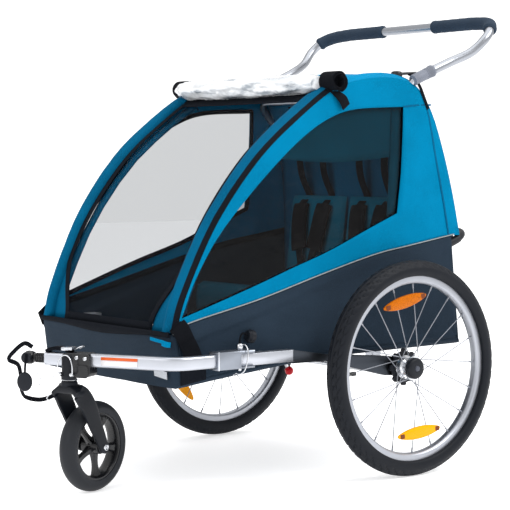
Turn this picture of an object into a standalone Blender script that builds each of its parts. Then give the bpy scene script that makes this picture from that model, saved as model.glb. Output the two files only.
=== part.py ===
"""Two-seat child bicycle trailer with a stroller wheel clamped to its stored tow arm.

Metres, +Z up. The front faces -Y, and +X is the trailer's left side, where the tow arm is
hinged. Every shape is drawn with the wheel axle at Y 0, and the finished trailer is then
moved so that the origin is on the ground below the middle of its length.
"""

import math

import bmesh
import bpy
from mathutils import Matrix, Vector

# Driving dimensions
LENGTH_MIDDLE = -0.25511
WHEEL_RADIUS = 0.250
TYRE_SECTION = 0.0235
TRACK_HALF = 0.3763
CASTER_RADIUS = 0.100
BODY_HALF = 0.297
NOSE_HALF = 0.276
TAPER_START = -0.34
NOSE_Y = -0.603
FABRIC = 0.0025
GAP = 0.0005
WHEEL_STEPS = 36
TUBE_RADIUS = 0.009
FLANGE_IN = -0.026
FLANGE_OUT = 0.006
HUB_BORE = 0.0066

# Side frame and tow arm
SIDE_X = 0.330
SIDE_HALF_WIDTH = 0.012
SIDE_Z = 0.298
PIVOT_Y = -0.463
ARM_Z = 0.2995
ARM_HALF_WIDTH = 0.011
ARM_HALF_HEIGHT = 0.0145
ARM_CORNER = Vector((SIDE_X, -0.629, ARM_Z))
ARM_HEADING = math.radians(210)
ARM_LENGTH = 0.312
BEND_RADIUS = 0.055
YOKE_FRONT = -0.533
YOKE_REAR = -0.434

# Stroller wheel
SWIVEL = Vector((0.108, -0.757, 0.0))
CASTER_YAW = math.radians(18)
CASTER_TRAIL = 0.078

# Folding frame
FLOOR_Z = 0.308
HOOP_HINGE = Vector((0.0, 0.178, FLOOR_Z))
HOOP_X = 0.282
RAIL_HINGE = Vector((0.0, -0.560, 0.352))
RAIL_X = 0.250
HANDLE_X = 0.295
HANDLE_START = Vector((0.0, 0.087, 0.922))
HANDLE_TILT = math.radians(21.8)
HANDLE_TUBE = 0.011
COLLAR_RADIUS = 0.0165

# Side outlines as (y, z), each drawn through with a smooth curve
HOOD_OUTLINE = [(-0.602, 0.3590), (-0.578, 0.440), (-0.500, 0.597), (-0.390, 0.737), (-0.275, 0.832),
                (-0.165, 0.902), (-0.065, 0.927), (0.035, 0.928), (0.098, 0.901), (0.140, 0.845),
                (0.174, 0.753), (0.202, 0.650), (0.224, 0.5515)]
TUB_TOP = [(-0.602, 0.3545), (-0.560, 0.378), (-0.387, 0.420), (-0.196, 0.472), (-0.046, 0.509),
           (0.059, 0.526), (0.203, 0.5475)]
TUB_BELLY = [(-0.602, 0.3545), (-0.586, 0.238), (-0.430, 0.258), (-0.220, 0.278), (0.000, 0.2835),
             (0.234, 0.2865), (0.224, 0.376), (0.209, 0.470), (0.203, 0.5475)]
WINDOW_TOP = [(-0.578, 0.402), (-0.545, 0.474), (-0.490, 0.562), (-0.419, 0.642), (-0.345, 0.713),
              (-0.265, 0.777), (-0.190, 0.821), (-0.108, 0.845), (0.041, 0.854)]
WINDOW_BASE = [(0.023, 0.605), (-0.064, 0.572), (-0.184, 0.525), (-0.300, 0.489), (-0.426, 0.450)]
OPENING_HALF = 0.245
OPENING_END_Y = -0.205
HOOD_ROWS = 18


def clear_scene():
    for obj in list(bpy.data.objects):
        bpy.data.objects.remove(obj, do_unlink=True)


def new_collection(name, hidden=False):
    collection = bpy.data.collections.new(name)
    bpy.context.scene.collection.children.link(collection)
    collection.hide_render = hidden
    return collection


clear_scene()
TRAILER = new_collection("child_bicycle_trailer")
CUTTERS = new_collection("cutters", hidden=True)


def material(name, colour, roughness, metallic=0.0):
    made = bpy.data.materials.new(name)
    made.use_nodes = True
    shader = made.node_tree.nodes["Principled BSDF"]
    shader.inputs["Base Color"].default_value = (*colour, 1.0)
    shader.inputs["Roughness"].default_value = roughness
    shader.inputs["Metallic"].default_value = metallic
    made.diffuse_color = (*colour, 1.0)
    return made


ALUMINIUM = material("satin_aluminium", (0.62, 0.63, 0.65), 0.35, 1.0)
STEEL = material("bright_steel", (0.70, 0.71, 0.72), 0.22, 1.0)
BLACK_PLASTIC = material("black_plastic", (0.018, 0.019, 0.021), 0.45)
GREY_PLASTIC = material("grey_plastic", (0.16, 0.18, 0.21), 0.5)
RUBBER = material("tyre_rubber", (0.020, 0.021, 0.024), 0.85)
FOAM = material("grip_foam", (0.060, 0.075, 0.105), 0.9)
AMBER = material("amber_reflector", (0.90, 0.33, 0.02), 0.2)
RED = material("red_plastic", (0.60, 0.02, 0.03), 0.35)
BLUE_FABRIC = material("blue_fabric", (0.0, 0.21, 0.50), 0.8)
SLATE_FABRIC = material("slate_fabric", (0.030, 0.045, 0.065), 0.85)
BLACK_FABRIC = material("black_fabric", (0.015, 0.016, 0.018), 0.9)
CLEAR_FILM = material("clear_film", (0.75, 0.78, 0.80), 0.1)
TINTED_FILM = material("tinted_film", (0.03, 0.04, 0.05), 0.15)


# Scene objects

def place(obj, made_of, parent=None, matrix=None):
    """Gives an object its material, collection, place and parent."""
    TRAILER.objects.link(obj)
    if made_of and not obj.data.materials:
        obj.data.materials.append(made_of)
    if matrix is not None:
        obj.matrix_world = matrix
    if parent is not None:
        obj.parent = parent
        obj.matrix_parent_inverse = parent.matrix_world.inverted()
    return obj


def axis_empty(name, location, parent=None):
    """An empty on a joint's axis, which the moving pieces are parented to."""
    empty = bpy.data.objects.new(name, None)
    empty.empty_display_size = 0.03
    TRAILER.objects.link(empty)
    empty.matrix_world = Matrix.Translation(location)
    if parent is not None:
        empty.parent = parent
        empty.matrix_parent_inverse = parent.matrix_world.inverted()
    bpy.context.view_layer.update()
    return empty


def hide(obj):
    """Moves a cutter, or a shape that another one takes in, out of the model."""
    for collection in list(obj.users_collection):
        collection.objects.unlink(obj)
    CUTTERS.objects.link(obj)
    obj.hide_render = True
    obj.display_type = "WIRE"


def boolean(obj, other, operation):
    modifier = obj.modifiers.new(operation.lower(), "BOOLEAN")
    modifier.operation = operation
    modifier.solver = "EXACT"
    modifier.object = other
    hide(other)
    return obj


def subtract(obj, *cutters):
    for cutter in cutters:
        boolean(obj, cutter, "DIFFERENCE")
    return obj


def unite(obj, *others):
    for other in others:
        boolean(obj, other, "UNION")
    return obj


def smooth(mesh, degrees=38):
    mesh.shade_smooth()
    mesh.set_sharp_from_angle(angle=math.radians(degrees))


def soften(obj, width, segments=2):
    modifier = obj.modifiers.new("soft_edges", "BEVEL")
    modifier.width = width
    modifier.segments = segments
    modifier.limit_method = "ANGLE"
    modifier.angle_limit = math.radians(40)
    return obj


# Points along rules

def through(points, count):
    """Evenly spaced points on a smooth curve (Catmull-Rom) through the given ones."""
    knots = [Vector(point) for point in points]
    knots = [2 * knots[0] - knots[1]] + knots + [2 * knots[-1] - knots[-2]]
    fine = []
    steps = 24
    for before, start, end, after in zip(knots, knots[1:], knots[2:], knots[3:]):
        for step in range(steps):
            t = step / steps
            fine.append(0.5 * (2 * start + (end - before) * t
                               + (2 * before - 5 * start + 4 * end - after) * t ** 2
                               + (3 * start - before - 3 * end + after) * t ** 3))
    fine.append(knots[-2])
    return spaced(fine, count)


def spaced(points, count):
    """The same polyline, resampled at equal steps."""
    lengths = [0.0]
    for start, end in zip(points, points[1:]):
        lengths.append(lengths[-1] + (end - start).length)
    found = []
    index = 0
    for step in range(count):
        target = lengths[-1] * step / (count - 1)
        while index < len(points) - 2 and lengths[index + 1] < target:
            index += 1
        share = (target - lengths[index]) / (lengths[index + 1] - lengths[index])
        found.append(points[index].lerp(points[index + 1], min(max(share, 0.0), 1.0)))
    return found


def filleted(corners, radius, steps=5):
    """A polyline whose inner corners are arcs of the given radius."""
    path = [corners[0]]
    for before, corner, after in zip(corners, corners[1:], corners[2:]):
        back = (before - corner).normalized()
        ahead = (after - corner).normalized()
        half = back.angle(ahead) / 2
        reach = radius / math.tan(half)
        centre = corner + (back + ahead).normalized() * radius / math.sin(half)
        start = corner + back * reach - centre
        end = corner + ahead * reach - centre
        turn = start.angle(end)
        for step in range(steps + 1):
            share = step / steps
            arm = (start * math.sin((1 - share) * turn) + end * math.sin(share * turn)) / math.sin(turn)
            path.append(centre + arm)
    path.append(corners[-1])
    return path


def inset(points, depth):
    """Points (y, z) moved inwards, to the right of the direction of travel."""
    found = []
    for index, point in enumerate(points):
        before = points[max(index - 1, 0)]
        after = points[min(index + 1, len(points) - 1)]
        along = (after - before).normalized()
        found.append(point + Vector((along.y, -along.x)) * depth)
    return found


def half_width(y):
    """Half the body's width, narrower towards the nose."""
    share = min(max((TAPER_START - y) / (TAPER_START - NOSE_Y), 0.0), 1.0)
    return BODY_HALF - (BODY_HALF - NOSE_HALF) * share ** 1.5


# Basic shapes

def mesh_object(name, bm):
    mesh = bpy.data.meshes.new(name)
    bm.to_mesh(mesh)
    bm.free()
    smooth(mesh)
    return bpy.data.objects.new(name, mesh)


def block(name, low, high, made_of=None, parent=None, edge=0.0, matrix=None):
    """A box between two corners, with softened edges."""
    low, high = Vector(low), Vector(high)
    size = high - low
    bm = bmesh.new()
    bmesh.ops.create_cube(bm, size=1.0, matrix=Matrix.Translation((low + high) / 2)
                          @ Matrix.Diagonal((*size, 1.0)))
    obj = place(mesh_object(name, bm), made_of, parent, matrix)
    if edge:
        soften(obj, edge)
    return obj


def rod(name, start, end, radius, made_of=None, parent=None, steps=10):
    """A straight cylinder between two points."""
    start, end = Vector(start), Vector(end)
    along = end - start
    bm = bmesh.new()
    bmesh.ops.create_cone(bm, cap_ends=True, segments=steps, radius1=radius, radius2=radius,
                          depth=along.length)
    turn = along.to_track_quat("Z", "Y").to_matrix().to_4x4()
    return place(mesh_object(name, bm), made_of, parent, Matrix.Translation((start + end) / 2) @ turn)


def bore(name, start, end, radius, steps=16):
    """A cutter whose flats, not its corners, lie at the radius."""
    return rod(name, start, end, radius / math.cos(math.pi / steps), steps=steps)


def turned(name, profile, matrix, made_of=None, parent=None, steps=WHEEL_STEPS, ring=False):
    """A profile of (radius, height) turned about its local Z. It runs down its outer side."""
    bm = bmesh.new()
    points = [bm.verts.new((radius, 0.0, height)) for radius, height in profile]
    for start, end in zip(points, points[1:]):
        bm.edges.new((start, end))
    if ring:
        bm.edges.new((points[-1], points[0]))
    obj = place(mesh_object(name, bm), made_of, parent, matrix)
    screw = obj.modifiers.new("turn", "SCREW")
    screw.steps = steps
    screw.render_steps = steps
    screw.use_merge_vertices = True
    screw.merge_threshold = 0.00001
    screw.use_smooth_shade = True
    return obj


def tube(name, path, radius, made_of=None, parent=None, resolution=2, profile=None, closed=False):
    """A swept tube. A profile of (x, y) points replaces the round section."""
    data = bpy.data.curves.new(name, "CURVE")
    data.dimensions = "3D"
    data.twist_mode = "Z_UP" if profile else "MINIMUM"
    spline = data.splines.new("POLY")
    spline.points.add(len(path) - 1)
    for target, point in zip(spline.points, path):
        target.co = (*point, 1.0)
    spline.use_cyclic_u = closed
    data.use_fill_caps = True
    if profile:
        data.bevel_mode = "OBJECT"
        data.bevel_object = section(name + "_section", profile)
    else:
        data.bevel_depth = radius
        data.bevel_resolution = resolution
    made = place(bpy.data.objects.new(name, data), made_of, parent)
    return as_mesh(made) if profile else made


def section(name, points):
    data = bpy.data.curves.new(name, "CURVE")
    data.dimensions = "2D"
    data.fill_mode = "NONE"
    spline = data.splines.new("POLY")
    spline.points.add(len(points) - 1)
    for target, point in zip(spline.points, points):
        target.co = (*point, 0.0, 1.0)
    spline.use_cyclic_u = True
    obj = bpy.data.objects.new(name, data)
    CUTTERS.objects.link(obj)
    obj.hide_render = True
    return obj


def oval(half_width_x, half_height, count=12, squareness=0.75):
    """A rounded section between an ellipse and a box."""
    points = []
    for step in range(count):
        angle = 2 * math.pi * (step + 0.5) / count
        x, y = math.cos(angle), math.sin(angle)
        points.append((half_width_x * math.copysign(abs(x) ** squareness, x),
                       half_height * math.copysign(abs(y) ** squareness, y)))
    return points


SIDEWAYS = Matrix(((0, 0, 1, 0), (1, 0, 0, 0), (0, 1, 0, 0), (0, 0, 0, 1)))


def plate(name, outline, low, high, made_of=None, parent=None, matrix=None):
    """A flat outline of (y, z) points, as thick as from x = low to x = high."""
    data = bpy.data.curves.new(name, "CURVE")
    data.dimensions = "2D"
    data.fill_mode = "BOTH"
    data.extrude = (high - low) / 2
    spline = data.splines.new("POLY")
    spline.points.add(len(outline) - 1)
    for target, point in zip(spline.points, outline):
        target.co = (point[0], point[1], 0.0, 1.0)
    spline.use_cyclic_u = True
    frame = (matrix or Matrix()) @ Matrix.Translation(((low + high) / 2, 0, 0)) @ SIDEWAYS
    return place(bpy.data.objects.new(name, data), made_of, parent, frame)


def as_mesh(obj):
    """The same shape as a mesh, which a Boolean can work on."""
    bpy.context.view_layer.update()
    graph = bpy.context.evaluated_depsgraph_get()
    mesh = bpy.data.meshes.new_from_object(obj.evaluated_get(graph))
    bm = bmesh.new()
    bm.from_mesh(mesh)
    bmesh.ops.remove_doubles(bm, verts=bm.verts, dist=0.00001)
    bmesh.ops.recalc_face_normals(bm, faces=bm.faces)
    bm.to_mesh(mesh)
    bm.free()
    smooth(mesh)
    name, parent, matrix = obj.name, obj.parent, obj.matrix_world.copy()
    bpy.data.objects.remove(obj, do_unlink=True)
    made = bpy.data.objects.new(name, mesh)
    return place(made, None, parent, matrix)


# Main wheels

def wheel_frame(side):
    """Local Z points out from the body along the axle."""
    return Matrix.Translation((side * TRACK_HALF, 0, WHEEL_RADIUS)) @ Matrix.Rotation(side * math.pi / 2, 4, "Y")


def tyre_profile(radius, section_radius, bead, count=6):
    """A round section cut flat at the bead's radius, run down its outer side."""
    centre = radius - section_radius
    reach = math.acos((bead - centre) / section_radius)
    points = []
    for step in range(count + 1):
        angle = reach - 2 * reach * step / count
        points.append((centre + section_radius * math.cos(angle), section_radius * math.sin(angle)))
    return points


def spoke_set(name, matrix):
    """Crossed spokes between the hub's two flanges and the rim."""
    spokes = bpy.data.collections.new(name)
    CUTTERS.children.link(spokes)
    count = 20
    for index in range(count):
        outer = index % 2 == 0
        leading = index % 4 < 2
        rim_angle = 2 * math.pi * index / count
        hub_angle = rim_angle + math.radians(48 if leading else -48)
        height = FLANGE_OUT - 0.003 if outer else FLANGE_IN + 0.003
        lift = 0.0014 if leading else -0.0014
        start = matrix @ Vector((0.0245 * math.cos(hub_angle), 0.0245 * math.sin(hub_angle), height + lift))
        end = matrix @ Vector((0.1945 * math.cos(rim_angle), 0.1945 * math.sin(rim_angle), 0.0))
        spoke = rod(f"{name}_{index}", start, end, 0.0013, steps=4)
        hide(spoke)
        CUTTERS.objects.unlink(spoke)
        spokes.objects.link(spoke)
    return spokes


def main_wheel(name, side):
    matrix = wheel_frame(side)
    axis = axis_empty(f"{name}_wheel_axis", matrix.translation)
    bead = 0.2139
    turned(f"{name}_tyre", tyre_profile(WHEEL_RADIUS, TYRE_SECTION, bead), matrix, RUBBER, axis, ring=True)
    rim = [(0.2134, 0.0120), (0.2134, -0.0120), (0.2010, -0.0120), (0.1960, -0.0070), (0.1960, 0.0070),
           (0.2010, 0.0120)]
    turned(f"{name}_rim", rim, matrix, ALUMINIUM, axis, ring=True)
    hub = [(0.0275, FLANGE_OUT), (0.0275, FLANGE_OUT - 0.003), (0.0140, FLANGE_OUT - 0.005),
           (0.0140, FLANGE_IN + 0.005), (0.0275, FLANGE_IN + 0.003), (0.0275, FLANGE_IN),
           (HUB_BORE, FLANGE_IN), (HUB_BORE, FLANGE_OUT)]
    spokes = turned(f"{name}_hub_and_spokes", hub, matrix, STEEL, axis, steps=12, ring=True)
    union = spokes.modifiers.new("spokes", "BOOLEAN")
    union.operation = "UNION"
    union.operand_type = "COLLECTION"
    union.collection = spoke_set(f"{name}_spoke", matrix)
    cap = [(0.0220, FLANGE_OUT + 0.0120), (0.0245, FLANGE_OUT + 0.0095), (0.0245, FLANGE_OUT + GAP),
           (0.0078, FLANGE_OUT + GAP), (0.0078, FLANGE_OUT + 0.0120)]
    turned(f"{name}_hub_cap", cap, matrix, BLACK_PLASTIC, axis, steps=16, ring=True)
    brake_ring(f"{name}_brake_ring", matrix, axis)
    for index, degrees in enumerate((192, 5) if side > 0 else (212, 32)):
        reflector(f"{name}_reflector_{index + 1}", matrix, math.radians(degrees), axis)
    pin = [(0.0, 0.0118), (0.0060, 0.0118), (0.0060, -0.0760), (0.0, -0.0760)]
    turned(f"{name}_axle_pin", pin, matrix, STEEL, steps=16)
    button = [(0.0, 0.0205), (0.0058, 0.0205), (0.0070, 0.0190), (0.0070, 0.0155), (0.0, 0.0155)]
    turned(f"{name}_hub_button", button, matrix, GREY_PLASTIC, steps=16)


def brake_ring(name, matrix, axis):
    """A notched ring on the inner side of the hub, which the parking brake catches."""
    back = FLANGE_IN - GAP
    ring = [(0.0385, back), (0.0385, back - 0.006), (0.0090, back - 0.006), (0.0090, back)]
    made = turned(name, ring, matrix, BLACK_PLASTIC, axis, steps=24, ring=True)
    notches = bpy.data.collections.new(name + "_notches")
    CUTTERS.children.link(notches)
    for index in range(8):
        spin = matrix @ Matrix.Rotation(2 * math.pi * index / 8, 4, "Z")
        notch = block(f"{name}_notch_{index}", (0.0345, -0.003, back - 0.010), (0.045, 0.003, back + 0.004),
                      matrix=spin)
        hide(notch)
        CUTTERS.objects.unlink(notch)
        notches.objects.link(notch)
    cut = made.modifiers.new("notches", "BOOLEAN")
    cut.operand_type = "COLLECTION"
    cut.collection = notches


def reflector(name, matrix, angle, axis):
    """An amber bar held in the spokes, lying along a chord of the wheel."""
    spin = matrix @ Matrix.Rotation(angle, 4, "Z")
    low = (0.145, -0.060, 0.0075)
    high = (0.173, 0.060, 0.0145)
    block(name, low, high, AMBER, axis, edge=0.003, matrix=spin)


# Frame

def side_frames():
    """Flat-sided tubes beside the body, the left one ending in the tow arm's tongue."""
    for name, side in (("left", 1), ("right", -1)):
        x = side * SIDE_X
        low = (x - SIDE_HALF_WIDTH, PIVOT_Y, SIDE_Z - 0.0130)
        high = (x + SIDE_HALF_WIDTH, -0.3245, SIDE_Z + 0.0130)
        rail = block(f"{name}_side_tube", low, high, ALUMINIUM)
        tongue = rod(f"{name}_tongue", (x, PIVOT_Y, SIDE_Z - 0.0130), (x, PIVOT_Y, SIDE_Z + 0.0130),
                     SIDE_HALF_WIDTH, steps=24)
        hole = bore(f"{name}_tongue_hole", (x, PIVOT_Y, 0.2), (x, PIVOT_Y, 0.4), 0.0042)
        unite(rail, tongue)
        subtract(rail, hole)
        corner_bracket(f"{name}_corner_bracket", side)


def corner_bracket(name, side):
    outline = [(-0.3240, 0.3110), (-0.3240, 0.2800), (-0.2300, 0.2790), (-0.0500, 0.2330), (0.0000, 0.2290),
               (0.0200, 0.2130), (0.0380, 0.2130), (0.0420, 0.2300), (0.0210, 0.2560), (0.0130, 0.2680),
               (-0.0300, 0.2760), (-0.2200, 0.2930)]
    low, high = sorted((side * 0.3185, side * 0.3380))
    made = as_mesh(plate(name, outline, low, high, BLACK_PLASTIC))
    subtract(made, bore(name + "_bore", (low - 0.01, 0, WHEEL_RADIUS), (high + 0.01, 0, WHEEL_RADIUS), 0.0131))


def axle_tube():
    profile = [(0.0126, 0.338), (0.0126, -0.338), (HUB_BORE, -0.338), (HUB_BORE, 0.338)]
    across = Matrix.Translation((0, 0, WHEEL_RADIUS)) @ Matrix.Rotation(math.pi / 2, 4, "Y")
    turned("axle_tube", profile, across, ALUMINIUM, steps=20, ring=True)


def floor_frame():
    """The ladder frame inside the tub, with the hinge bar, the front hinge blocks and the axle posts."""
    low_y, high_y = -0.520, HOOP_HINGE.y
    frame = rod("floor_frame", (-0.2925, high_y, FLOOR_Z), (0.2925, high_y, FLOOR_Z), TUBE_RADIUS, ALUMINIUM)
    parts = [rod("cross_front", (-RAIL_X, low_y, FLOOR_Z), (RAIL_X, low_y, FLOOR_Z), TUBE_RADIUS),
             rod("cross_middle", (-0.3175, -0.380, 0.300), (0.3175, -0.380, 0.300), TUBE_RADIUS)]
    for side in (1, -1):
        x = side * 0.240
        parts.append(rod("floor_rail", (x, low_y - 0.006, FLOOR_Z), (x, high_y + 0.004, FLOOR_Z), TUBE_RADIUS))
        low, high = sorted((side * 0.228, side * 0.252))
        parts.append(block("axle_post", (low, -0.014, 0.2630), (high, 0.014, FLOOR_Z)))
        low, high = sorted((side * 0.150, side * 0.180))
        parts.append(block("hinge_block", (low, -0.578, 0.300), (high, -0.512, 0.368)))
    unite(frame, *parts)
    subtract(frame, bore("hinge_bore", (-0.19, *RAIL_HINGE.yz), (0.19, *RAIL_HINGE.yz), TUBE_RADIUS + GAP))


# Folding frame

def hood_line(depth, count=40):
    """The hood's side outline, moved inwards."""
    return inset(through(HOOD_OUTLINE, count), depth)


def front_rails(axis):
    """Two curved rails and the bar that joins them on the front hinge's axis."""
    line = [point for point in hood_line(0.030) if 0.40 < point.y and point.x < -0.165]
    line = spaced(line, 9)
    left = [Vector((RAIL_X, point.x, point.y)) for point in reversed(line)]
    corner = Vector((RAIL_X, *RAIL_HINGE.yz))
    path = left + filleted([left[-1], corner, Vector((0, *RAIL_HINGE.yz))], 0.028, 3)[1:-1]
    mirrored = [Vector((-point.x, point.y, point.z)) for point in reversed(path)]
    tube("front_rails", path + mirrored, TUBE_RADIUS, ALUMINIUM, axis)


def rear_hoop(axis):
    """The folding rear frame: two uprights with eyes round the hinge bar, and a top bar."""
    foot = Vector((HOOP_X, HOOP_HINGE.y, FLOOR_Z))
    left = [foot + Vector((0, 0, 0.012)), Vector((HOOP_X, 0.165, 0.500)), Vector((HOOP_X, 0.150, 0.700)),
            Vector((HOOP_X, 0.112, 0.820))]
    corners = [left[-1], Vector((HOOP_X, 0.058, 0.8795)), Vector((-HOOP_X, 0.058, 0.8795))]
    bend = filleted(corners, 0.040, 4)[1:-1]
    path = left + bend
    mirrored = [Vector((-point.x, point.y, point.z)) for point in reversed(path)]
    hoop = as_mesh(tube("rear_hoop", path + mirrored, TUBE_RADIUS, ALUMINIUM, axis))
    for side in (1, -1):
        x = side * HOOP_X
        eye = rod("eye", (x - 0.0085, *foot.yz), (x + 0.0085, *foot.yz), 0.0165)
        unite(hoop, eye)
    for side in (1, -1):
        x = side * HOOP_X
        subtract(hoop, bore("eye_bore", (x - 0.02, *foot.yz), (x + 0.02, *foot.yz), TUBE_RADIUS + GAP))


def along_handle(side, distance):
    """A point on the handlebar leg's axis."""
    x = side * HANDLE_X
    return Vector((x, HANDLE_START.y + distance * math.cos(HANDLE_TILT),
                   HANDLE_START.z + distance * math.sin(HANDLE_TILT)))


def handlebar_half():
    """The left half of the handlebar's path: straight in its collar, bowed outwards, then across."""
    bend = [along_handle(1, 0.062), (0.301, 0.190, 0.964), (0.318, 0.241, 0.988), (0.330, 0.277, 1.022),
            (0.319, 0.303, 1.047), (0.290, 0.324, 1.061), (0.230, 0.330, 1.066)]
    return [along_handle(1, -0.043), along_handle(1, 0.056)] + through(bend, 13)


def handlebar(hoop_axis, slide_axis):
    half = handlebar_half()
    mirrored = [Vector((-point.x, point.y, point.z)) for point in reversed(half)]
    tube("handlebar", half + mirrored, HANDLE_TUBE, ALUMINIUM, slide_axis)
    for name, side in (("left", 1), ("right", -1)):
        mirror = Vector((side, 1, 1))
        inner_end = half[-1] * mirror
        inner_end.x = side * 0.093
        grip_path = [point * mirror for point in half if point.z > 1.040] + [inner_end]
        grip = as_mesh(tube(f"{name}_grip", grip_path, 0.0160, FOAM, slide_axis))
        inner_end = inner_end - Vector((side * 0.093, 0, 0))
        core_path = [point * mirror for point in half] + [inner_end]
        core = as_mesh(tube(f"{name}_grip_bore", core_path, HANDLE_TUBE + 0.0006))
        subtract(grip, core)
        collar = rod(f"{name}_handle_collar", along_handle(side, -0.045), along_handle(side, 0.052),
                     COLLAR_RADIUS, GREY_PLASTIC, hoop_axis, steps=16)
        subtract(collar, bore("collar_bore", along_handle(side, -0.09), along_handle(side, 0.09),
                             HANDLE_TUBE + GAP))


def cargo_hoop():
    """The black bar round the back of the body."""
    corners = [Vector((0.3075, 0.150, 0.512)), Vector((0.3075, 0.268, 0.556)), Vector((0, 0.268, 0.556))]
    half = filleted(corners, 0.045, 4)[:-1]
    mirrored = [Vector((-point.x, point.y, point.z)) for point in reversed(half)]
    tube("cargo_hoop", half + mirrored, TUBE_RADIUS, BLACK_PLASTIC)


# Tow arm

def arm_direction():
    return Vector((math.cos(ARM_HEADING), math.sin(ARM_HEADING), 0))


def arm_path():
    end = ARM_CORNER + arm_direction() * ARM_LENGTH
    return filleted([Vector((SIDE_X, YOKE_FRONT + 0.030, ARM_Z)), ARM_CORNER, end], BEND_RADIUS, 6)


def tow_arm(axis):
    tube("tow_arm_tube", arm_path(), 0, ALUMINIUM, axis, profile=oval(ARM_HALF_WIDTH, ARM_HALF_HEIGHT))
    yoke = block("tow_arm_yoke", (SIDE_X - 0.0165, YOKE_FRONT, 0.2805), (SIDE_X + 0.0165, YOKE_REAR, 0.3190),
                 ALUMINIUM, axis)
    slot_low, slot_high = 0.2842, 0.3118
    slot = block("yoke_slot", (SIDE_X - 0.05, -0.4790, slot_low), (SIDE_X + 0.0130, 0, slot_high))
    outer = block("yoke_outer_cut", (SIDE_X, PIVOT_Y - 0.0075, slot_low), (SIDE_X + 0.05, 0, slot_high))
    core_path = [Vector((SIDE_X, YOKE_FRONT + 0.0305, ARM_Z)), Vector((SIDE_X, YOKE_FRONT - 0.05, ARM_Z))]
    core = tube("yoke_arm_bore", core_path, 0, profile=oval(ARM_HALF_WIDTH + GAP, ARM_HALF_HEIGHT + GAP))
    hole = bore("yoke_pin_hole", (SIDE_X, PIVOT_Y, 0.2), (SIDE_X, PIVOT_Y, 0.4), 0.0042)
    subtract(yoke, slot, outer, core, hole)


def hitch_pin(axis):
    matrix = Matrix.Translation((SIDE_X, PIVOT_Y, 0))
    profile = [(0.0, 0.3330), (0.0060, 0.3330), (0.0075, 0.3290), (0.0075, 0.3195), (0.0038, 0.3195),
               (0.0038, 0.2740), (0.0, 0.2740)]
    turned("hitch_pin", profile, matrix, STEEL, axis, steps=16)


def coupling(axis):
    """The rubber flex joint, the coupling ball and the safety strap at the arm's end."""
    end = ARM_CORNER + arm_direction() * ARM_LENGTH
    frame = Matrix.Translation(end) @ arm_direction().to_track_quat("Z", "Y").to_matrix().to_4x4()
    flex = [(0.0, 0.0300), (0.0090, 0.0300), (0.0105, 0.0270), (0.0105, 0.0050), (0.0125, 0.0030),
            (0.0125, GAP), (0.0, GAP)]
    turned("flex_joint", flex, frame, BLACK_PLASTIC, axis, steps=16)
    ball = [(0.0, 0.0560), (0.0090, 0.0540), (0.0140, 0.0480), (0.0150, 0.0420), (0.0140, 0.0350),
            (0.0095, 0.0305), (0.0, 0.0305)]
    turned("coupling_ball", ball, frame, BLACK_PLASTIC, axis, steps=16)
    safety_strap(end, axis)


def safety_strap(end, axis):
    """Webbing that loops up over the coupling and hangs below it, clear of the swivelling wheel.

    Its points are (forward, inward, up) of the arm's end, seen along the trailer's diagonal.
    """
    forward, inward = Vector((-0.608, -0.794, 0)), Vector((-0.794, 0.608, 0))
    loop = [(0.030, 0, 0.026), (0.048, 0, 0.034), (0.073, 0, 0.014), (0.084, 0, -0.003), (0.062, 0.004, -0.016),
            (0.057, 0.010, -0.050), (0.058, 0.020, -0.072), (0.050, 0.035, -0.090), (0.022, 0.050, -0.098),
            (-0.004, 0.062, -0.092), (-0.026, 0.068, -0.078)]
    path = [end + forward * point.x + inward * point.y + Vector((0, 0, point.z)) for point in through(loop, 18)]
    band = [(-0.0080, -0.0008), (0.0080, -0.0008), (0.0080, 0.0008), (-0.0080, 0.0008)]
    tube("safety_strap", path, 0, BLACK_FABRIC, axis, profile=band)


# Stroller wheel

def caster_frame():
    return Matrix.Translation(SWIVEL) @ Matrix.Rotation(CASTER_YAW, 4, "Z")


def caster(arm_axis):
    swivel = axis_empty("caster_swivel_axis", SWIVEL, arm_axis)
    frame = caster_frame()
    hub_centre = frame @ Vector((0, CASTER_TRAIL, CASTER_RADIUS))
    wheel = axis_empty("caster_wheel_axis", hub_centre, swivel)
    across = Matrix.Translation(hub_centre) @ Matrix.Rotation(CASTER_YAW, 4, "Z") @ Matrix.Rotation(math.pi / 2, 4, "Y")
    tyre = [(0.0745, 0.0180), (0.0860, 0.0215), (0.0955, 0.0150), (0.1000, 0.0000), (0.0955, -0.0150),
            (0.0860, -0.0215), (0.0745, -0.0180)]
    turned("caster_tyre", tyre, across, RUBBER, wheel, steps=28, ring=True)
    rim = [(0.0740, 0.0160), (0.0740, -0.0160), (0.0660, -0.0130), (0.0660, 0.0130)]
    wheel_rim = turned("caster_rim", rim, across, BLACK_PLASTIC, wheel, steps=24, ring=True)
    hub = turned("caster_hub", [(0.0150, 0.0240), (0.0150, -0.0240), (0.0055, -0.0240), (0.0055, 0.0240)],
                 across, steps=12, ring=True)
    arms = []
    for index in range(5):
        spin = across @ Matrix.Rotation(2 * math.pi * index / 5, 4, "Z")
        arms.append(block("caster_arm", (0.0120, -0.0070, -0.0060), (0.0690, 0.0070, 0.0060), matrix=spin))
    unite(wheel_rim, hub, *arms)
    bolt = [(0.0, 0.0400), (0.0075, 0.0400), (0.0075, 0.0357), (0.0050, 0.0357), (0.0050, -0.0357),
            (0.0075, -0.0357), (0.0075, -0.0400), (0.0, -0.0400)]
    turned("caster_axle", bolt, across, STEEL, swivel, steps=16)
    caster_fork(frame, swivel)
    caster_bracket(arm_axis)


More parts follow.
